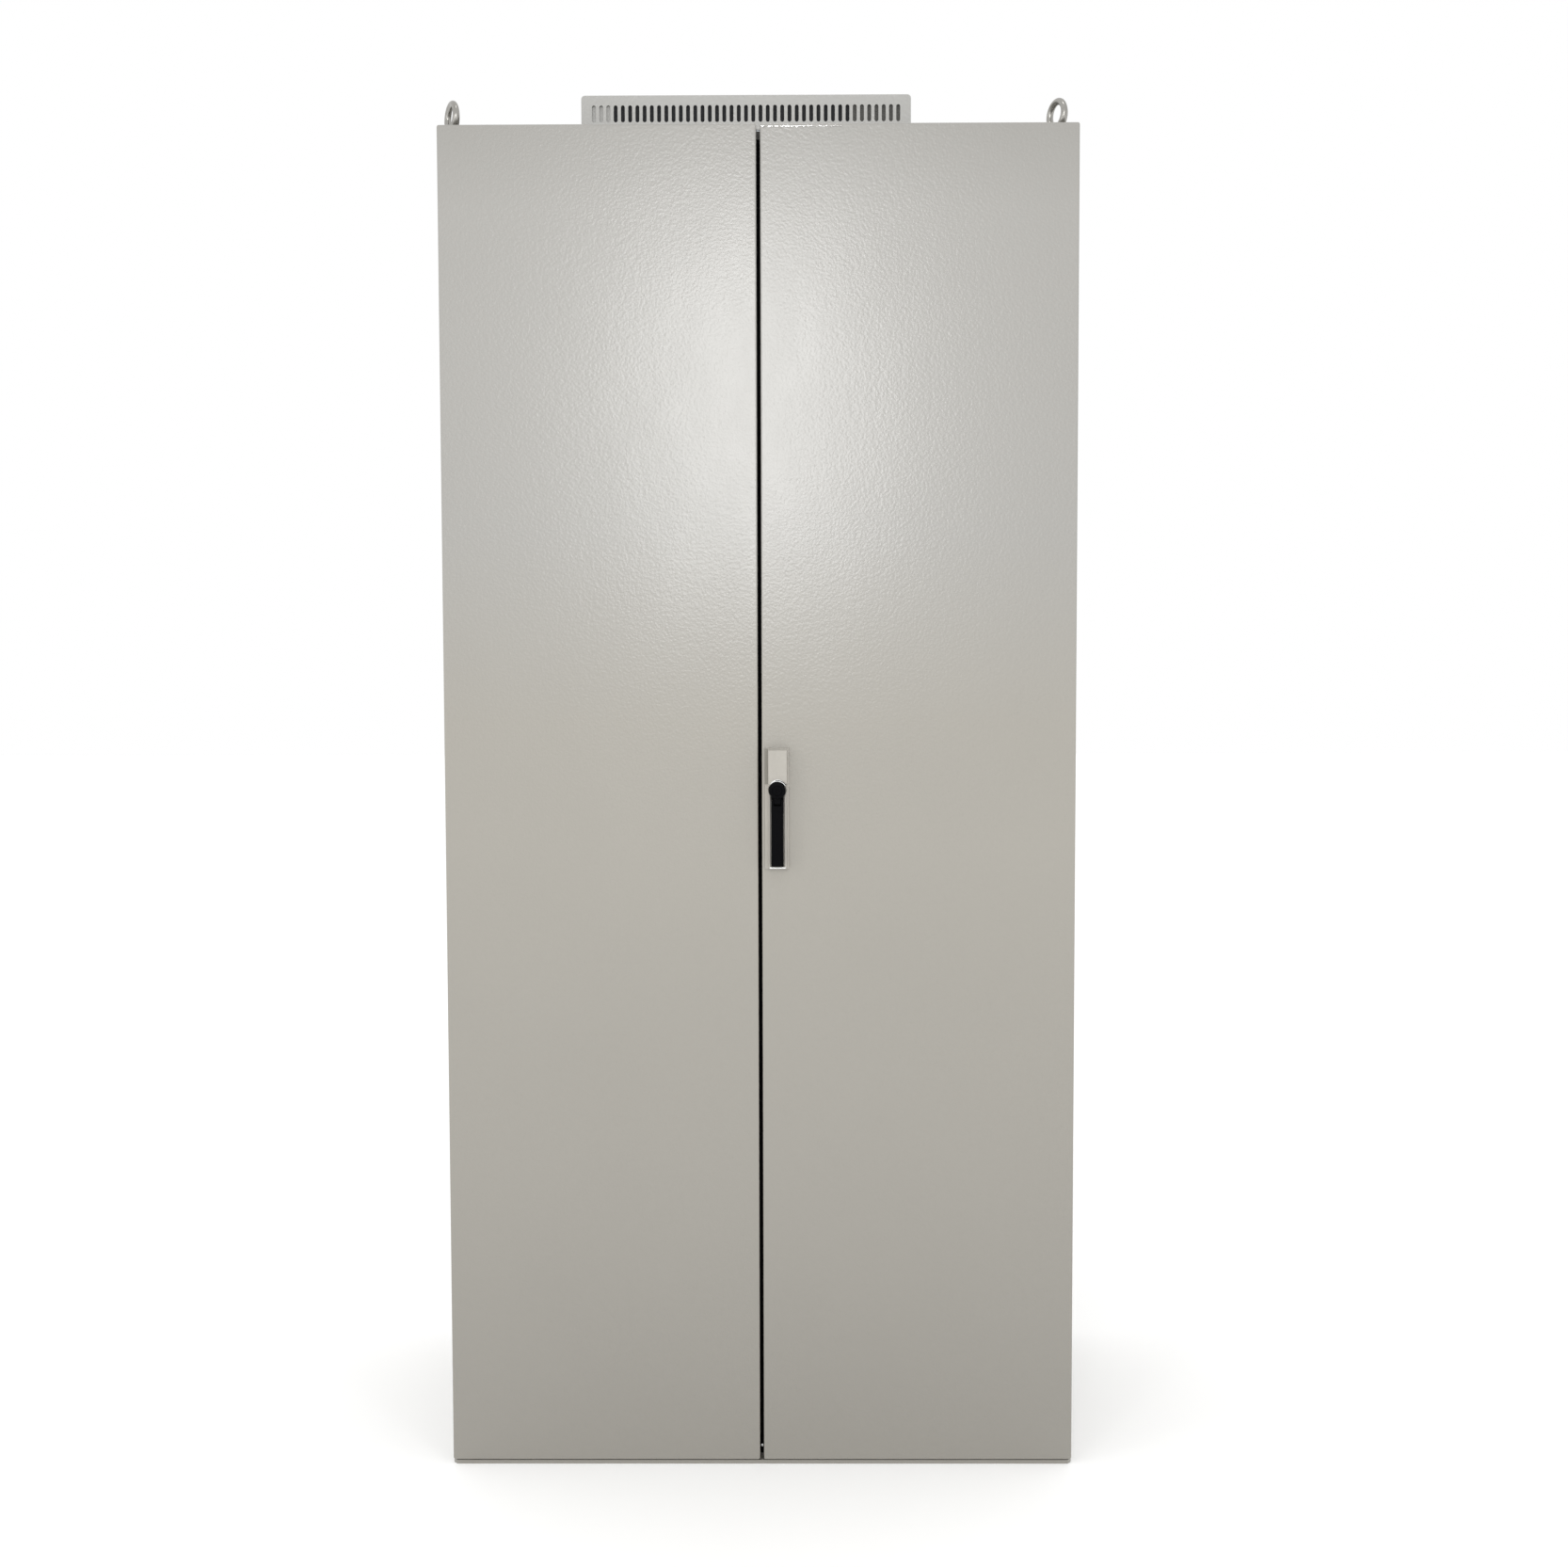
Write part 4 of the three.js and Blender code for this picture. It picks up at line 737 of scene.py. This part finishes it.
def eye_ring():
    """A forged ring in local YZ: round section on top, thicker through its foot."""
    def half_width(turn):
        return (5.0 + 1.9 * (0.5 - 0.5 * math.sin(turn)) ** 2) * MM
    upright = Matrix(((0, 0, 1, 0), (1, 0, 0, 0), (0, 1, 0, EYE_CENTER), (0, 0, 0, 1)))
    return moved(ring_tube(EYE_RING, 5.4 * MM, half_width, 56, 20), upright)


def eye_collar():
    """The collar with its rounded shoulder, and the threaded shank below it."""
    pitch, start = 1.75, -21.6
    thread = [(radius, start + pitch * index + rise) for index in range(12)
              for radius, rise in ((5.1, 0), (5.7, 0.85))]
    shoulder = [(6, -0.1), (12, 0.3), (12.4, 1.2), (12.4, 5), (11.6, 6.6), (9.6, 8), (7.6, 10), (6, 12.4)]
    return loft(mm(*thread, *shoulder), 40)


def make_eye_bolts():
    for name, turn in EYE_TURNS.items():
        low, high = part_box(f"{name}_eye_bolt")
        middle = (low + high) / 2
        place = Matrix.Translation((middle.x, middle.y, ROOF_TOP + 0.3 * MM))
        bolt = moved(joined(eye_ring(), eye_collar()), place @ Matrix.Rotation(turn, 4, "Z"))
        piece(f"{name}_lifting_eye", bolt, "zinc_plate", "cabinet", sharp=45, replaces=[f"{name}_eye_bolt"])


# ---------------- handle

HANDLE = joint_place("handle_turn")  # where the turning axis meets the door's face
HOUSING_BOTTOM, HOUSING_TOP = -125 * MM, 67 * MM
BACK_SIDES, FACE_SIDES = (-20.5 * MM, 19 * MM), (-14 * MM, 15 * MM)
FLANGE_FACE, TRAY_FLOOR, TRAY_FACE, COVER_FACE = -5 * MM, -5.2 * MM, -12.5 * MM, -20 * MM
HEAD_WELL = 14.4 * MM
LEVER_TOP, LEVER_END = -14.7 * MM, -120 * MM
LEVER_PIN = (0, -18.5 * MM, -18 * MM)


def tapered_bar(back_sides, front_sides, back, front, bottom, top, end_slope=0.0):
    """A bar along Z with leaning sides; its upper end leans back by end_slope."""
    section = [(back_sides[0], back), (back_sides[1], back), (front_sides[1], front), (front_sides[0], front)]
    return skin([[(x, y, height - (lean if y == front else 0)) for x, y in section]
                 for height, lean in ((bottom, 0), (top, end_slope))])


def along_front(mesh):
    """Turns a mesh built about +Z so that its Z points to the front."""
    return moved(mesh, facing((0, 0, 0), TO_FRONT))


def handle_housing():
    """A flange, the tray for the lever on it, and a raised cover that reaches down round the head."""
    draft = 0.8 * MM
    flange_face = (BACK_SIDES[0] + draft, BACK_SIDES[1] - draft)
    foot_sides = (FACE_SIDES[0] - draft, FACE_SIDES[1] + draft)
    flange = tapered_bar(BACK_SIDES, flange_face, -0.3 * MM, FLANGE_FACE,
                         HOUSING_BOTTOM, HOUSING_TOP, 1.5 * MM)
    tray = tapered_bar(foot_sides, FACE_SIDES, -1 * MM, TRAY_FACE, HOUSING_BOTTOM + 0.6 * MM, 10 * MM)
    cover = tapered_bar(foot_sides, FACE_SIDES, -1.2 * MM, COVER_FACE, 1 * MM, HOUSING_TOP - 1 * MM, 3 * MM)
    recess = rounded_box((-11.6 * MM, -24 * MM, HOUSING_BOTTOM + 3.2 * MM),
                         (11.6 * MM, TRAY_FLOOR, 2 * MM), 1.2 * MM)
    well = along_front(loft([(HEAD_WELL, -TRAY_FLOOR), (HEAD_WELL, 30 * MM)], 64))
    spindle = along_front(loft(mm((6, -3), (6, 8)), 32))
    lever_room = rounded_box((0, -30 * MM, -0.5 * MM), (40 * MM, TRAY_FACE - 0.2 * MM, 10.6 * MM), 0)
    return combined(flange, ("UNION", tray), ("UNION", cover), ("DIFFERENCE", lever_room),
                    ("DIFFERENCE", recess), ("DIFFERENCE", well), ("DIFFERENCE", spindle))


def on_head(outline, thickness, depth):
    """A flat strip round the head, upright in front of the door, whose back is at y = depth."""
    strip = sheet_with_holes([outline], thickness)
    return moved(strip, Matrix.Translation((0, depth, 0)) @ FRONT_VIEW)


def collar_highlight():
    """The bright collar over the head, widest at the top and fading out at both sides: only its lit top is drawn,
    a painted highlight.
    """
    inner, start, end = 14.3 * MM, math.radians(28), math.radians(140)
    angles = evenly(start, end, 48)
    outline = []
    for angle in angles:
        radius = inner + 0.3 * MM + 2.6 * MM * math.sin(math.pi * (angle - start) / (end - start))
        outline.append((radius * math.cos(angle), radius * math.sin(angle)))
    outline += [(inner * math.cos(angle), inner * math.sin(angle)) for angle in reversed(angles)]
    return on_head(outline, 6 * MM, -15.8 * MM)


def handle_head():
    """Face, neck, spindle and the toothed pinion that moves the lock rods, with the lever's tongue."""
    def teeth(angle):
        return (6.1 + 0.5 * math.tanh(3 * math.sin(16 * angle))) * MM
    spindle = mm((4.4, -17), (4.4, -16)) + [(teeth, -16 * MM), (teeth, -10 * MM)] + mm((4.4, -10), (4.4, 5.6))
    neck = mm((8, 5.6), (8, 14.5), (12.6, 14.5))
    face = mm((13.2, 15.1), (13.2, 23.6), (12.8, 25), (11.6, 25.8), (8.2, 26), (7.9, 25.4), (7.4, 25.4),
              (7.1, 25.9), (3.2, 26), (2.9, 25), (1.6, 25))
    body = loft(spindle + neck + face, 96)
    tongue = rounded_box(*mm((-5.5, -21, -22), (5.5, -16, -8)), 0.8 * MM)
    return joined(along_front(body), tongue)


def handle_lever():
    """A slim bar with a slightly crowned face, forked round the head's tongue."""
    half_width, half_depth, middle = 9.7 * MM, 3.9 * MM, -18.9 * MM
    length = LEVER_TOP - LEVER_END
    scales = ((0, 0.9), (0.006, 0.97), (0.02, 1), (0.3, 0.985), (0.6, 0.97), (0.962, 0.985),
              (0.982, 0.92), (1, 0.72))
    rings = [(superellipse(half_width * scale, half_depth * scale, 7), LEVER_END + share * length)
             for share, scale in scales]
    bar = moved(loft(rings, 96), Matrix.Translation((0, middle, 0)))
    mouth = rounded_box(*mm((-6.2, -26, -24.5), (6.2, -10, -10)), 0)
    groove = rounded_box(*mm((-6.4, -23.5, -112), (6.4, -22.35, -34)), 0.5 * MM)
    pin = moved(loft(mm((1.5, -8.6), (1.5, 8.6)), 20), facing(LEVER_PIN, TO_RIGHT))
    return joined(combined(bar, ("DIFFERENCE", mouth), ("DIFFERENCE", groove)), pin)


def groove_shade_arc():
    """The thin black arc over the head's upper right side: painted shade in the groove between the collar and the
    head.
    """
    start, end, inner, outer = math.radians(32), math.radians(100), 15.3 * MM, 16.4 * MM
    outline = arc((0, 0), outer, start, end, 20) + arc((0, 0), inner, end, start, 20)
    return on_head(outline, 1 * MM, -21.2 * MM)


def notch_shade_pad():
    """The black pad on the tray's floor that the folded lever rests against: painted shade in the notch between
    head and lever.
    """
    return rounded_box(*mm((-9.7, -9.5, -36), (9.7, -5.2, -8.6)), 1 * MM)


def sill_highlight_strip():
    """The bright strip along the tray's lower edge: a painted highlight where the lip catches the light from
    above.
    """
    return rounded_box(*mm((-12.4, -13.1, -124.2), (13, -12.3, -122.2)), 0.3 * MM)


def flange_shade_strip():
    """The darker strip of flange beside the cover's left edge: painted shade cast by the cover."""
    return rounded_box(*mm((-20, -5.4, 9), (-14.9, -4.9, 66)), 0.15 * MM)


def make_handle():
    at_handle = Matrix.Translation(HANDLE)
    door = "right_door"
    piece("handle_housing_shell", moved(handle_housing(), at_handle), "cream_plastic", door,
          edge=0.7 * MM, replaces=["handle_housing"])
    # A painted highlight on the collar's lit top.
    piece("handle_collar_highlight", moved(collar_highlight(), at_handle), "highlight_metal", door, "zinc_plate", edge=0.4 * MM)
    # Painted shade in the groove round the head.
    piece("handle_groove_shade", moved(groove_shade_arc(), at_handle), "black_plastic", door)
    # A painted highlight on the tray's lower lip.
    piece("handle_sill_highlight", moved(sill_highlight_strip(), at_handle), "highlight_metal", door, "zinc_plate")
    # Painted shade beside the cover.
    piece("handle_flange_shade", moved(flange_shade_strip(), at_handle), "flange_shade_plastic", door, "cream_plastic")
    # Painted shade in the notch between head and lever.
    piece("handle_notch_shade", moved(notch_shade_pad(), at_handle), "black_plastic", door)
    piece("handle_round_head", moved(handle_head(), at_handle), "black_plastic", "handle_turn",
          sharp=30, replaces=["handle_head"])
    piece("handle_grip", moved(handle_lever(), at_handle), "black_plastic", "lever",
          sharp=30, replaces=["handle_lever"])


# ---------------- outside fasteners

def screwed_panel(name, places, outward):
    """A packed flat panel with a countersunk dimple at each place, and the screws that sit in them."""
    low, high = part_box(name)
    dimple = loft(mm((2.6, -1.3), (2.9, -0.9), (4.9, 0.2), (5.2, 1)), 24)
    dimples = copies(dimple, [facing(place, outward) for place in places])
    panel = combined(rounded_box(low, high, 0.4 * MM), ("DIFFERENCE", dimples))
    piece(f"{name}_sheet", panel, "cabinet_paint", "cabinet", edge=0.3 * MM, replaces=[name])
    piece(f"{name}_screws", copies(flush_screw(), turned_at_random(places, outward)), "zinc_plate", "cabinet")


def make_panels():
    """Side and rear panels, fixed all round with recessed screws."""
    for side, name in SIDES:
        low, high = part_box(f"{name}_side_panel")
        x = low.x if side < 0 else high.x
        places = [(x, y, z) for y in (low.y + 22 * MM, high.y - 24 * MM)
                  for z in evenly(low.z + 60 * MM, high.z - 60 * MM, 6)]
        screwed_panel(f"{name}_side_panel", places, (side, 0, 0))
    low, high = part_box("rear_panel")
    places = [(x, high.y, z) for x in (low.x + 24 * MM, high.x - 24 * MM)
              for z in evenly(low.z + 60 * MM, high.z - 60 * MM, 7)]
    places += [(x, high.y, z) for x in evenly(-0.24, 0.24, 3) for z in (low.z + 22 * MM, high.z - 22 * MM)]
    screwed_panel("rear_panel", places, TO_REAR)


# ---------------- frame and door details

HOLE_PITCH, HOLE_RADIUS = 25 * MM, 4.2 * MM


def punches(places, outward):
    """Round and square punches in turn, one at each place."""
    size, reach = HOLE_RADIUS, 6 * MM
    drill = loft([(size, -reach), (size, reach)], 14)
    die = rounded_box((-size, -size, -reach), (size, size, reach), 0)
    spots = [facing(place, outward) for place in places]
    return [copies(drill, spots[::2]), copies(die, spots[1::2])]


def punched_sheet(name, body, rows, edge):
    """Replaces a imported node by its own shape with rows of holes; rows are (places, outward)."""
    tools = []
    for places, outward in rows:
        tools += [("DIFFERENCE", tool) for tool in punches(places, outward)]
    sheet = combined(nodes[name].data.copy(), *tools)
    piece(f"{name}_punched", sheet, SLOTS[name], body, edge=edge, replaces=[name])


def make_posts():
    """Rows of holes down the outer face and the outer flank of each corner post."""
    for name in ("front_left_post", "front_right_post", "rear_left_post", "rear_right_post"):
        low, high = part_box(name)
        middle = (low + high) / 2
        face = high.y if "rear" in name else low.y
        flank = low.x if "left" in name else high.x
        heights = [low.z + 30 * MM + HOLE_PITCH * step for step in range(78)]
        punched_sheet(name, "cabinet", [([(middle.x, face, z) for z in heights], TO_REAR),
                                        ([(flank, middle.y, z) for z in heights], TO_RIGHT)], 0.5 * MM)


def make_door_frames():
    """Rows of holes down both uprights of each door's stiffening frame."""
    inset = 14.5 * MM
    for door in ("left_door", "right_door"):
        low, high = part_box(f"{door}_gasket")
        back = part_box(f"{door}_frame")[1].y - 1 * MM
        heights = [low.z + 40 * MM + HOLE_PITCH * step for step in range(79)]
        rows = [([(x, back, z) for z in heights], TO_REAR) for x in (low.x + inset, high.x - inset)]
        punched_sheet(f"{door}_frame", door, rows, 0.4 * MM)


def make_mounting_bolts():
    low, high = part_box("mounting_plate")
    places = [(x, low.y, z) for x in (low.x + 14 * MM, high.x - 14 * MM)
              for z in evenly(low.z + 120 * MM, high.z - 120 * MM, 7)]
    bolts("mounting_plate_bolts", places, TO_FRONT, 13 * MM, "cabinet")


def make_hinge_rail_screws():
    """Two screws for each fixed hinge arm."""
    for side, name in SIDES:
        axis = hinge_axis(side)
        places = [(axis.x - side * 21 * MM, axis.y + 18 * MM, height + offset)
                  for height in HINGE_HEIGHTS for offset in (-50 * MM, 50 * MM)]
        screws(f"{name}_hinge_rail_screws", places, TO_FRONT, 3.4 * MM, "cabinet")


def make_keeper_screws():
    """Two screws in each keeper, level with the end of the gap between the doors."""
    # The lower keeper's screws are near-white metal, a painted glint at the foot of the gap; the upper keeper's
    # are black, painted shade at its top.
    for name, height, finish in (("lower_keeper", 21 * MM, "highlight_metal"),
                                 ("upper_keeper", 2099 * MM, "black_paint")):
        low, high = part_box(name)
        places = [(x, high.y - 3.2 * MM, height) for x in (low.x + 7 * MM, 0)]
        screws(f"{name}_screws", places, TO_FRONT, 2.8 * MM, "cabinet", finish)


def make_gap_shade_pad():
    """The grey foam pad on the roof frame that the two doors close against: painted shade at the top of the gap
    between them.
    """
    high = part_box("upper_keeper")[1]
    pad = rounded_box((-14 * MM, high.y - 3 * MM, high.z + 0.5 * MM),
                      (14 * MM, high.y, high.z + 14 * MM), 1 * MM)
    piece("gap_shade_pad", pad, "painted_light_and_shade_mat", "cabinet", slot="foam_seal")


def make_grommets():
    """Rubber rings in the four cable entries of the floor plate."""
    plate_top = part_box("gland_plate")[1].z
    ring = loft(mm((29, 0.2), (29.4, 1.2), (28, 2.6), (23, 3.2), (20.5, 2.2), (20, 0.6), (20.4, -1.8),
                   (24.6, -1.9)), 48)
    hole = loft(mm((19, -6), (19, 8)), 48)
    grommet = combined(ring, ("DIFFERENCE", hole))
    places = [Matrix.Translation((step * 90 * MM, 60 * MM, plate_top)) for step in (-1.5, -0.5, 0.5, 1.5)]
    piece("cable_grommets", copies(grommet, places), "foam_seal", "cabinet", slot="foam_seal")


# ---------------- fans

ROOF_FAN_BORE, DRIVE_FAN_BORE = 92 * MM, 78 * MM


def fan_blade(hub, tip, bottom, top, count):
    """One curved blade: a thin wing from hub to tip that climbs as it sweeps round."""
    spans, chords, half_thickness = 6, 8, 0.9 * MM
    sweep = 0.8 * math.tau / count
    built = bmesh.new()
    faces = []
    for side in (-1, 1):
        face = []
        for span in range(spans + 1):
            reach = span / spans
            radius = hub + (tip - hub) * reach
            row = []
            for chord in range(chords + 1):
                along = chord / chords
                angle = sweep * (along - 0.5) + 0.25 * reach ** 2
                climb = bottom + (top - bottom) * (along ** 0.8)
                climb += side * half_thickness * math.sin(math.pi * (0.06 + 0.88 * along))
                row.append(built.verts.new((radius * math.cos(angle), radius * math.sin(angle), climb)))
            face.append(row)
        faces.append(face)
    lower, upper = faces
    for face in faces:
        for span in range(spans):
            for chord in range(chords):
                built.faces.new((face[span][chord], face[span][chord + 1],
                                 face[span + 1][chord + 1], face[span + 1][chord]))
    border = [(span, 0) for span in range(spans)]
    border += [(spans, chord) for chord in range(chords)]
    border += [(span, chords) for span in range(spans, 0, -1)]
    border += [(0, chord) for chord in range(chords, 0, -1)]
    for here, there in zip(border, border[1:] + border[:1]):
        built.faces.new((lower[here[0]][here[1]], lower[there[0]][there[1]],
                         upper[there[0]][there[1]], upper[here[0]][here[1]]))
    return mesh_of(built)


def fan_rotor(bore, bottom, top):
    """A hub with seven blades."""
    hub, count = 0.36 * bore, 7
    hub_mesh = loft([(0.5 * hub, bottom), (0.94 * hub, bottom), (hub, bottom + 2 * MM), (hub, top - 4 * MM),
                     (0.93 * hub, top - 1 * MM), (0.8 * hub, top), (0.3 * hub, top),
                     (0.28 * hub, top - 1.5 * MM)], 48)
    blade = fan_blade(hub - 2 * MM, 0.95 * bore, bottom + 2 * MM, top - 3 * MM, count)
    turns = [Matrix.Rotation(math.tau * index / count, 4, "Z") for index in range(count)]
    return joined(hub_mesh, copies(blade, turns))


def fan_guard(bore, height):
    """Concentric wire rings on four spokes."""
    wire = 1.1 * MM
    rings = [ring_tube(share * bore, wire, lambda turn: wire, 64, 8)
             for share in (0.3, 0.48, 0.66, 0.84, 1)]
    spoke = moved(loft([(wire, 0.28 * bore), (wire, 1.16 * bore)], 10), facing((0, 0, -2 * wire), TO_RIGHT))
    turns = [Matrix.Rotation(math.radians(45 + 90 * index), 4, "Z") for index in range(4)]
    return moved(joined(*rings, copies(spoke, turns)), Matrix.Translation((0, 0, height)))


def make_fans():
    for name, body, bore, guard_above in (("left_roof_fan", "left_roof_rotor", ROOF_FAN_BORE, False),
                                          ("right_roof_fan", "right_roof_rotor", ROOF_FAN_BORE, False),
                                          ("drive_fan", "drive_rotor", DRIVE_FAN_BORE, True)):
        low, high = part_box(f"{name}_housing")
        middle = joint_place(f"{name}_spin")
        axis = Matrix.Translation((middle.x, middle.y, 0))
        rotor = moved(fan_rotor(bore, low.z + 8 * MM, low.z + 46 * MM), axis)
        piece(f"{name}_wheel", rotor, "grey_plastic", body, replaces=[f"{name}_rotor"])
        height = high.z + 3.6 * MM if guard_above else low.z - 1.4 * MM
        piece(f"{name}_guard", moved(fan_guard(bore, height), axis), "zinc_plate", "cabinet")


# ---------------- drive and switchgear details

def make_drive_cover_screws():
    low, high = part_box("drive_cover")
    places = [(x, low.y, z) for x in (low.x + 16 * MM, high.x - 16 * MM)
              for z in (low.z + 22 * MM, (low.z + high.z) / 2, high.z - 22 * MM)]
    screws("drive_cover_screws", places, TO_FRONT, 4 * MM, "cabinet", "black_plastic")


def make_keypad_face():
    """The display, two rows of three small keys, and the ready and fault lights."""
    low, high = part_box("drive_keypad")
    face = low.y
    glass = rounded_box((low.x + 13 * MM, face - 0.1 * MM, low.z + 85 * MM),
                        (high.x - 13 * MM, face + 1.4 * MM, low.z + 133 * MM), 0.5 * MM)
    piece("keypad_display", glass, "display_glass", "cabinet", slot="black_plastic")
    key = rounded_box(*mm((-8, -1.3, -4.5), (8, 0.3, 4.5)), 0.6 * MM)
    middle = (low.x + high.x) / 2
    places = [Matrix.Translation((middle + column * 22 * MM, face, low.z + height))
              for height in (59 * MM, 74 * MM) for column in (-1, 0, 1)]
    piece("keypad_small_keys", copies(key, places), "black_plastic", "cabinet")
    for name, finish, x in (("ready_light", "green_key", low.x + 18 * MM),
                            ("fault_light", "red_key", low.x + 28 * MM)):
        lens = loft(mm((1.9, -0.4), (1.9, 0.5), (1.5, 1.1), (0.7, 1.4)), 20)
        piece(name, moved(lens, facing((x, face, low.z + 140 * MM), TO_FRONT)), finish, "cabinet")


def make_terminal_screws():
    """The terminal screws of the breaker, the contactor and the terminal strip, and the earth bar's bolts."""
    low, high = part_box("main_breaker")
    wells = [(x, low.y + 15 * MM, z) for x in evenly(low.x + 26 * MM, high.x - 26 * MM, 3)
             for z in (low.z + 20 * MM, high.z - 20 * MM)]
    screws("breaker_terminal_screws", wells, TO_FRONT, 7 * MM, "cabinet")
    low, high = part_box("main_contactor")
    pockets = [((low.x + high.x) / 2 + step * 38 * MM, high.y - 80 * MM, z) for step in (-1, 0, 1)
               for z in (low.z + 11 * MM, high.z - 11 * MM)]
    screws("contactor_terminal_screws", pockets, TO_FRONT, 6 * MM, "cabinet")
    low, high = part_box("terminal_strip")
    clamps = [(low.x + (index + 0.5) * 16 * MM, low.y, z) for index in range(10)
              for z in (low.z + 12 * MM, high.z - 12 * MM)]
    screws("terminal_strip_screws", clamps, TO_FRONT, 4 * MM, "cabinet")
    low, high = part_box("earth_bar")
    studs = [(step * 30 * MM, low.y, (low.z + high.z) / 2) for step in range(-4, 5)]
    bolts("earth_bar_bolts", studs, TO_FRONT, 13 * MM, "cabinet")


def make_fuse_caps():
    """Metal end caps on the three fuse links, and the bolts of their blades."""
    low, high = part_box("fuse_block")
    middle = (low + high) / 2
    axis_y = high.y - 50 * MM
    caps, blades = [], []
    for step in (-1, 0, 1):
        x = middle.x + step * 50 * MM
        for end in (-1, 1):
            cap = loft(mm((16.6, -8), (16.8, -7), (16.8, 6), (16, 7.4)), 40)
            caps.append(moved(cap, facing((x, axis_y, middle.z + end * 38.5 * MM), (0, 0, end))))
            blades.append((x, axis_y - 3 * MM, middle.z + end * 66 * MM))
    piece("fuse_caps", joined(*caps), "zinc_plate", "cabinet")
    bolts("fuse_bolts", blades, TO_FRONT, 8 * MM, "cabinet")


def make_reactor_details():
    """Clamp bars across both yokes, with through-bolts."""
    low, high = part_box("reactor_core")
    clamps, places = [], []
    for z in (low.z + 20 * MM, high.z - 20 * MM):
        clamps.append(rounded_box((low.x - 12 * MM, low.y - 3.4 * MM, z - 16 * MM),
                                  (high.x + 12 * MM, low.y - 0.4 * MM, z + 16 * MM), 0.8 * MM))
        places += [(x, low.y - 3.4 * MM, z) for x in evenly(low.x + 16 * MM, high.x - 16 * MM, 3)]
    piece("reactor_clamps", joined(*clamps), "galvanised_steel", "cabinet")
    bolts("reactor_bolts", places, TO_FRONT, 13 * MM, "cabinet")


# ---------------- run

make_camera()
make_floor()
make_lights()
MATERIALS = make_materials()
finish_cad_nodes(MATERIALS)
make_doors()
make_paint_bead()
make_hood()
make_eye_bolts()
make_handle()
make_panels()
make_posts()
make_door_frames()
make_mounting_bolts()
make_hinge_rail_screws()
make_keeper_screws()
make_gap_shade_pad()
make_grommets()
make_fans()
make_drive_cover_screws()
make_keypad_face()
make_terminal_screws()
make_fuse_caps()
make_reactor_details()
